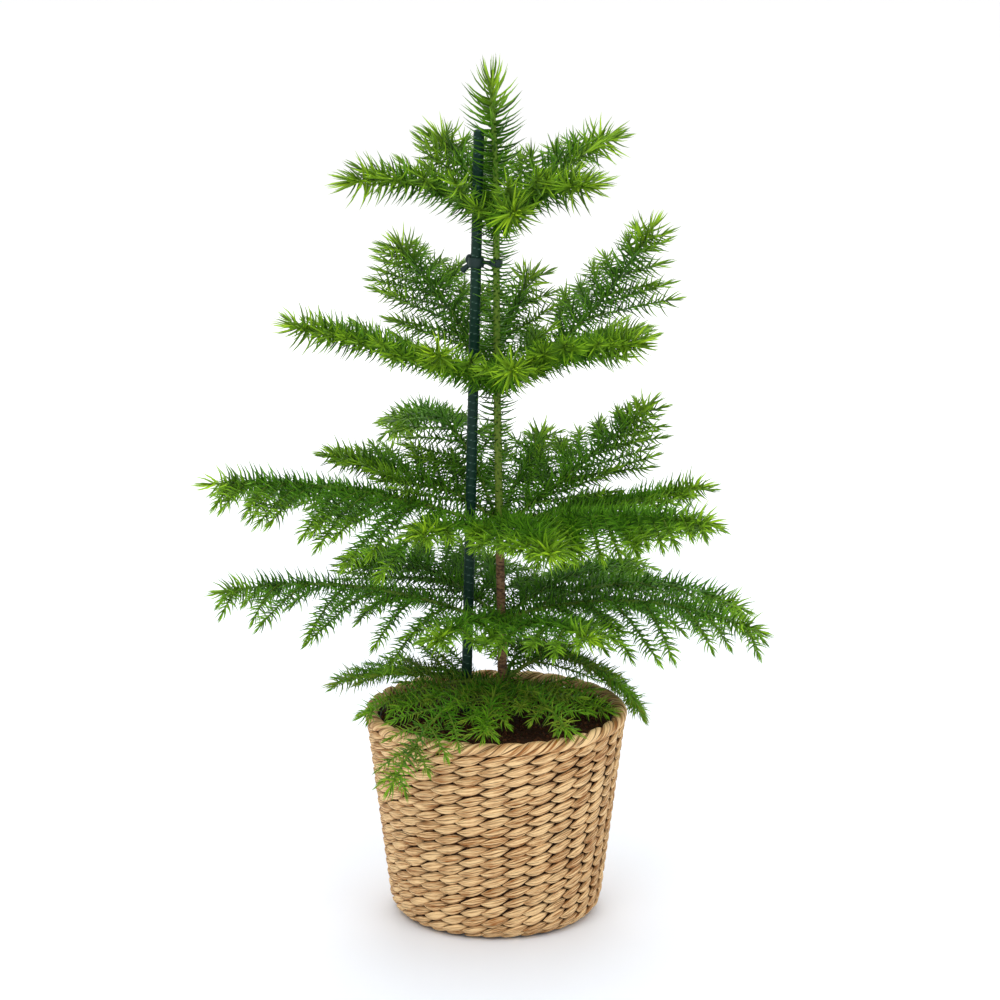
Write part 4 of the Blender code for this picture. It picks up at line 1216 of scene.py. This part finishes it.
class PINE_OT_rim(bpy.types.Operator):
    """Twist the basket's rim"""
    bl_idname = "pine.rim"
    bl_label = "Rim"

    def execute(self, context):
        # The tree makes its own ring, so the source is only a short line
        rim = skeleton("basket_rim_rope", [np.array([[0.0, 0.0, 0.0], [MM, 0.0, 0.0]])], {})
        grown(rim, rope_tree(), {"Finish": rope_finish(context.scene.pine_basket)})
        worn(rim, "basket_rim")
        return {"FINISHED"}


class PINE_OT_soil(bpy.types.Operator):
    """Fill the basket with its liner and the soil"""
    bl_idname = "pine.soil"
    bl_label = "Liner and soil"

    def execute(self, context):
        worn(liner_cup(moulded_finish("liner_plastic", LINER_COLOUR, 0.45)), "liner")
        finish = soil_finish(context.scene.pine_basket)
        worn(grown(soil_body(finish), crumb_tree(), {"Finish": finish}), "soil")
        return {"FINISHED"}


class PINE_OT_stem(bpy.types.Operator):
    """Make the woody stem, the stake and the clip"""
    bl_idname = "pine.stem"
    bl_label = "Woody stem, stake and clip"

    def execute(self, context):
        look = context.scene.pine_stem
        worn(woody_stem(bark_finish(look)), "woody_stem")
        worn(ridged_stake(stake_finish(look), look.ridge_pitch), "stake")
        worn(tie_clip(moulded_finish("clip_plastic", tuple(look.clip), 0.4)), "tie_clip")
        return {"FINISHED"}


class PINE_OT_foliage(bpy.types.Operator):
    """Clothe the leafy stem and every branch with needles"""
    bl_idname = "pine.foliage"
    bl_label = "Foliage"

    def execute(self, context):
        look = context.scene.pine_foliage
        tree = needle_tree()
        shoot = shoot_finish(look, context.scene.pine_stem.bark)
        worn(self.leader(look, tree, shoot), "leafy_stem")
        seed = 1
        for group, tier in TIERS.items():
            finishes = (needle_finish(group, look), shoot)
            for order, spec in enumerate(tier.branches):
                node = f"{group}_branch_{order + 1}"
                piece = dress_branch(f"{node}_spray", tier, spec, order, tree, finishes, look, seed)
                worn(piece, node)
                seed += 1
        return {"FINISHED"}

    @staticmethod
    def leader(look, tree, shoot):
        """The green stem, whose needles are longest near the top and close to a brush there."""
        heights = np.linspace(BARK_TOP, STEM_TOP, 60)
        line = np.array([stem_at(z) for z in heights])
        stops = np.array(STEM_NEEDLES, float)
        values = {
            "thickness": [np.array([stem_radius(z) for z in heights])],
            "needle": [np.interp(heights / MM, stops[:, 0], stops[:, 1]) * MM],
            "lean": [np.radians(np.interp(heights / MM, stops[:, 0], stops[:, 2]))],
            "vigour": [np.ones(len(heights))],
            "comb": [np.zeros(len(heights))],
        }
        source = skeleton("leader_spray", [line], values)
        return grown(source, tree, {
            "Needle Width": look.needle_width * 0.1,
            "Spacing": look.needle_spacing * 0.85,
            "Curl": look.needle_curl * 1.3,
            "Tip Zone": 1.5 * MM,
            "Tip Lean": math.radians(10),
            "Stem Sides": 10,
            "Seed": look.seed,
            "Needle Finish": needle_finish("leader", look),
            "Stem Finish": shoot,
        })


class PINE_OT_stage(bpy.types.Operator):
    """Add the floor, the soft lights and the camera"""
    bl_idname = "pine.stage"
    bl_label = "Stage"

    def execute(self, context):
        look = context.scene.pine_stage
        finish = Finish("pale_floor")
        x, y, _ = finish.parts(finish.place())
        far = finish.smooth(finish.math("SQRT", x * x + y * y), *FLOOR_FADE)
        shade = finish.mix(look.floor, (1.0, 1.0, 1.0), far)
        material = finish.surface(Base_Color=shade, Roughness=0.9)
        corners = [(x * FLOOR_SIZE, y * FLOOR_SIZE, 0) for x, y in ((-1, -1), (1, -1), (1, 1), (-1, 1))]
        floor = solid("floor", corners, [(0, 1, 2, 3)], material, smooth=False)
        for name, (place, size, share) in LAMPS.items():
            lamp = aimed(link(name, bpy.data.lights.new(name, "AREA")), place)
            lamp.data.size = size
            lamp.data.energy = look.key_power * share
        # A broad light as if from a whole ceiling, so that the floor stays even
        overhead = link("overhead", bpy.data.lights.new("overhead", "SUN"))
        overhead.data.energy = look.overhead
        overhead.data.angle = OVERHEAD_SPREAD
        overhead.rotation_euler = OVERHEAD_TILT
        self.sky(context.scene)
        context.scene.view_settings.view_transform = "Standard"
        camera = aimed(link("camera", bpy.data.cameras.new("camera")), CAMERA_PLACE)
        camera.data.lens = CAMERA_LENS
        camera.data.shift_x = CAMERA_SHIFT
        context.scene.camera = camera
        return {"FINISHED"}

    @staticmethod
    def sky(scene):
        """White round the horizon, dimmer overhead."""
        world = scene.world or bpy.data.worlds.new("studio")
        scene.world = world
        world.use_nodes = True
        nodes = Nodes(world.node_tree)
        _, _, z = nodes.parts(nodes.add("ShaderNodeTexCoord", None, None, "Generated"))
        strength = 1.0 - nodes.smooth(nodes.math("ABSOLUTE", z), 0.05, 0.45) * 0.38
        background = world.node_tree.nodes["Background"]
        nodes.fill(background, {"Color": (1.0, 1.0, 1.0, 1.0), "Strength": strength})


GROUPS = {"pine_foliage": PineFoliage, "pine_basket": PineBasket, "pine_stem": PineStem,
          "pine_stage": PineStage}
OPERATORS = (PINE_OT_stage, PINE_OT_basket, PINE_OT_rim, PINE_OT_soil, PINE_OT_stem, PINE_OT_foliage)


class PINE_PT_finish(bpy.types.Panel):
    """Sizes, colours and steps of the potted pine"""
    bl_idname = "PINE_PT_finish"
    bl_label = "Potted Pine"
    bl_space_type = "VIEW_3D"
    bl_region_type = "UI"
    bl_category = "Pine"

    def draw(self, context):
        for operator in OPERATORS:
            self.layout.operator(operator.bl_idname)
        for group, kind in GROUPS.items():
            box = self.layout.box()
            for name in kind.__annotations__:
                box.prop(getattr(context.scene, group), name)


def register():
    for kind in (*GROUPS.values(), *OPERATORS, PINE_PT_finish):
        bpy.utils.register_class(kind)
    for group, kind in GROUPS.items():
        setattr(bpy.types.Scene, group, PointerProperty(type=kind))


def unregister():
    for group in GROUPS:
        delattr(bpy.types.Scene, group)
    for kind in (PINE_PT_finish, *reversed(OPERATORS), *reversed(GROUPS.values())):
        bpy.utils.unregister_class(kind)


def main():
    register()
    bpy.ops.pine.stage()
    bpy.ops.pine.basket()
    bpy.ops.pine.rim()
    bpy.ops.pine.soil()
    bpy.ops.pine.stem()
    bpy.ops.pine.foliage()


if __name__ == "__main__":
    main()
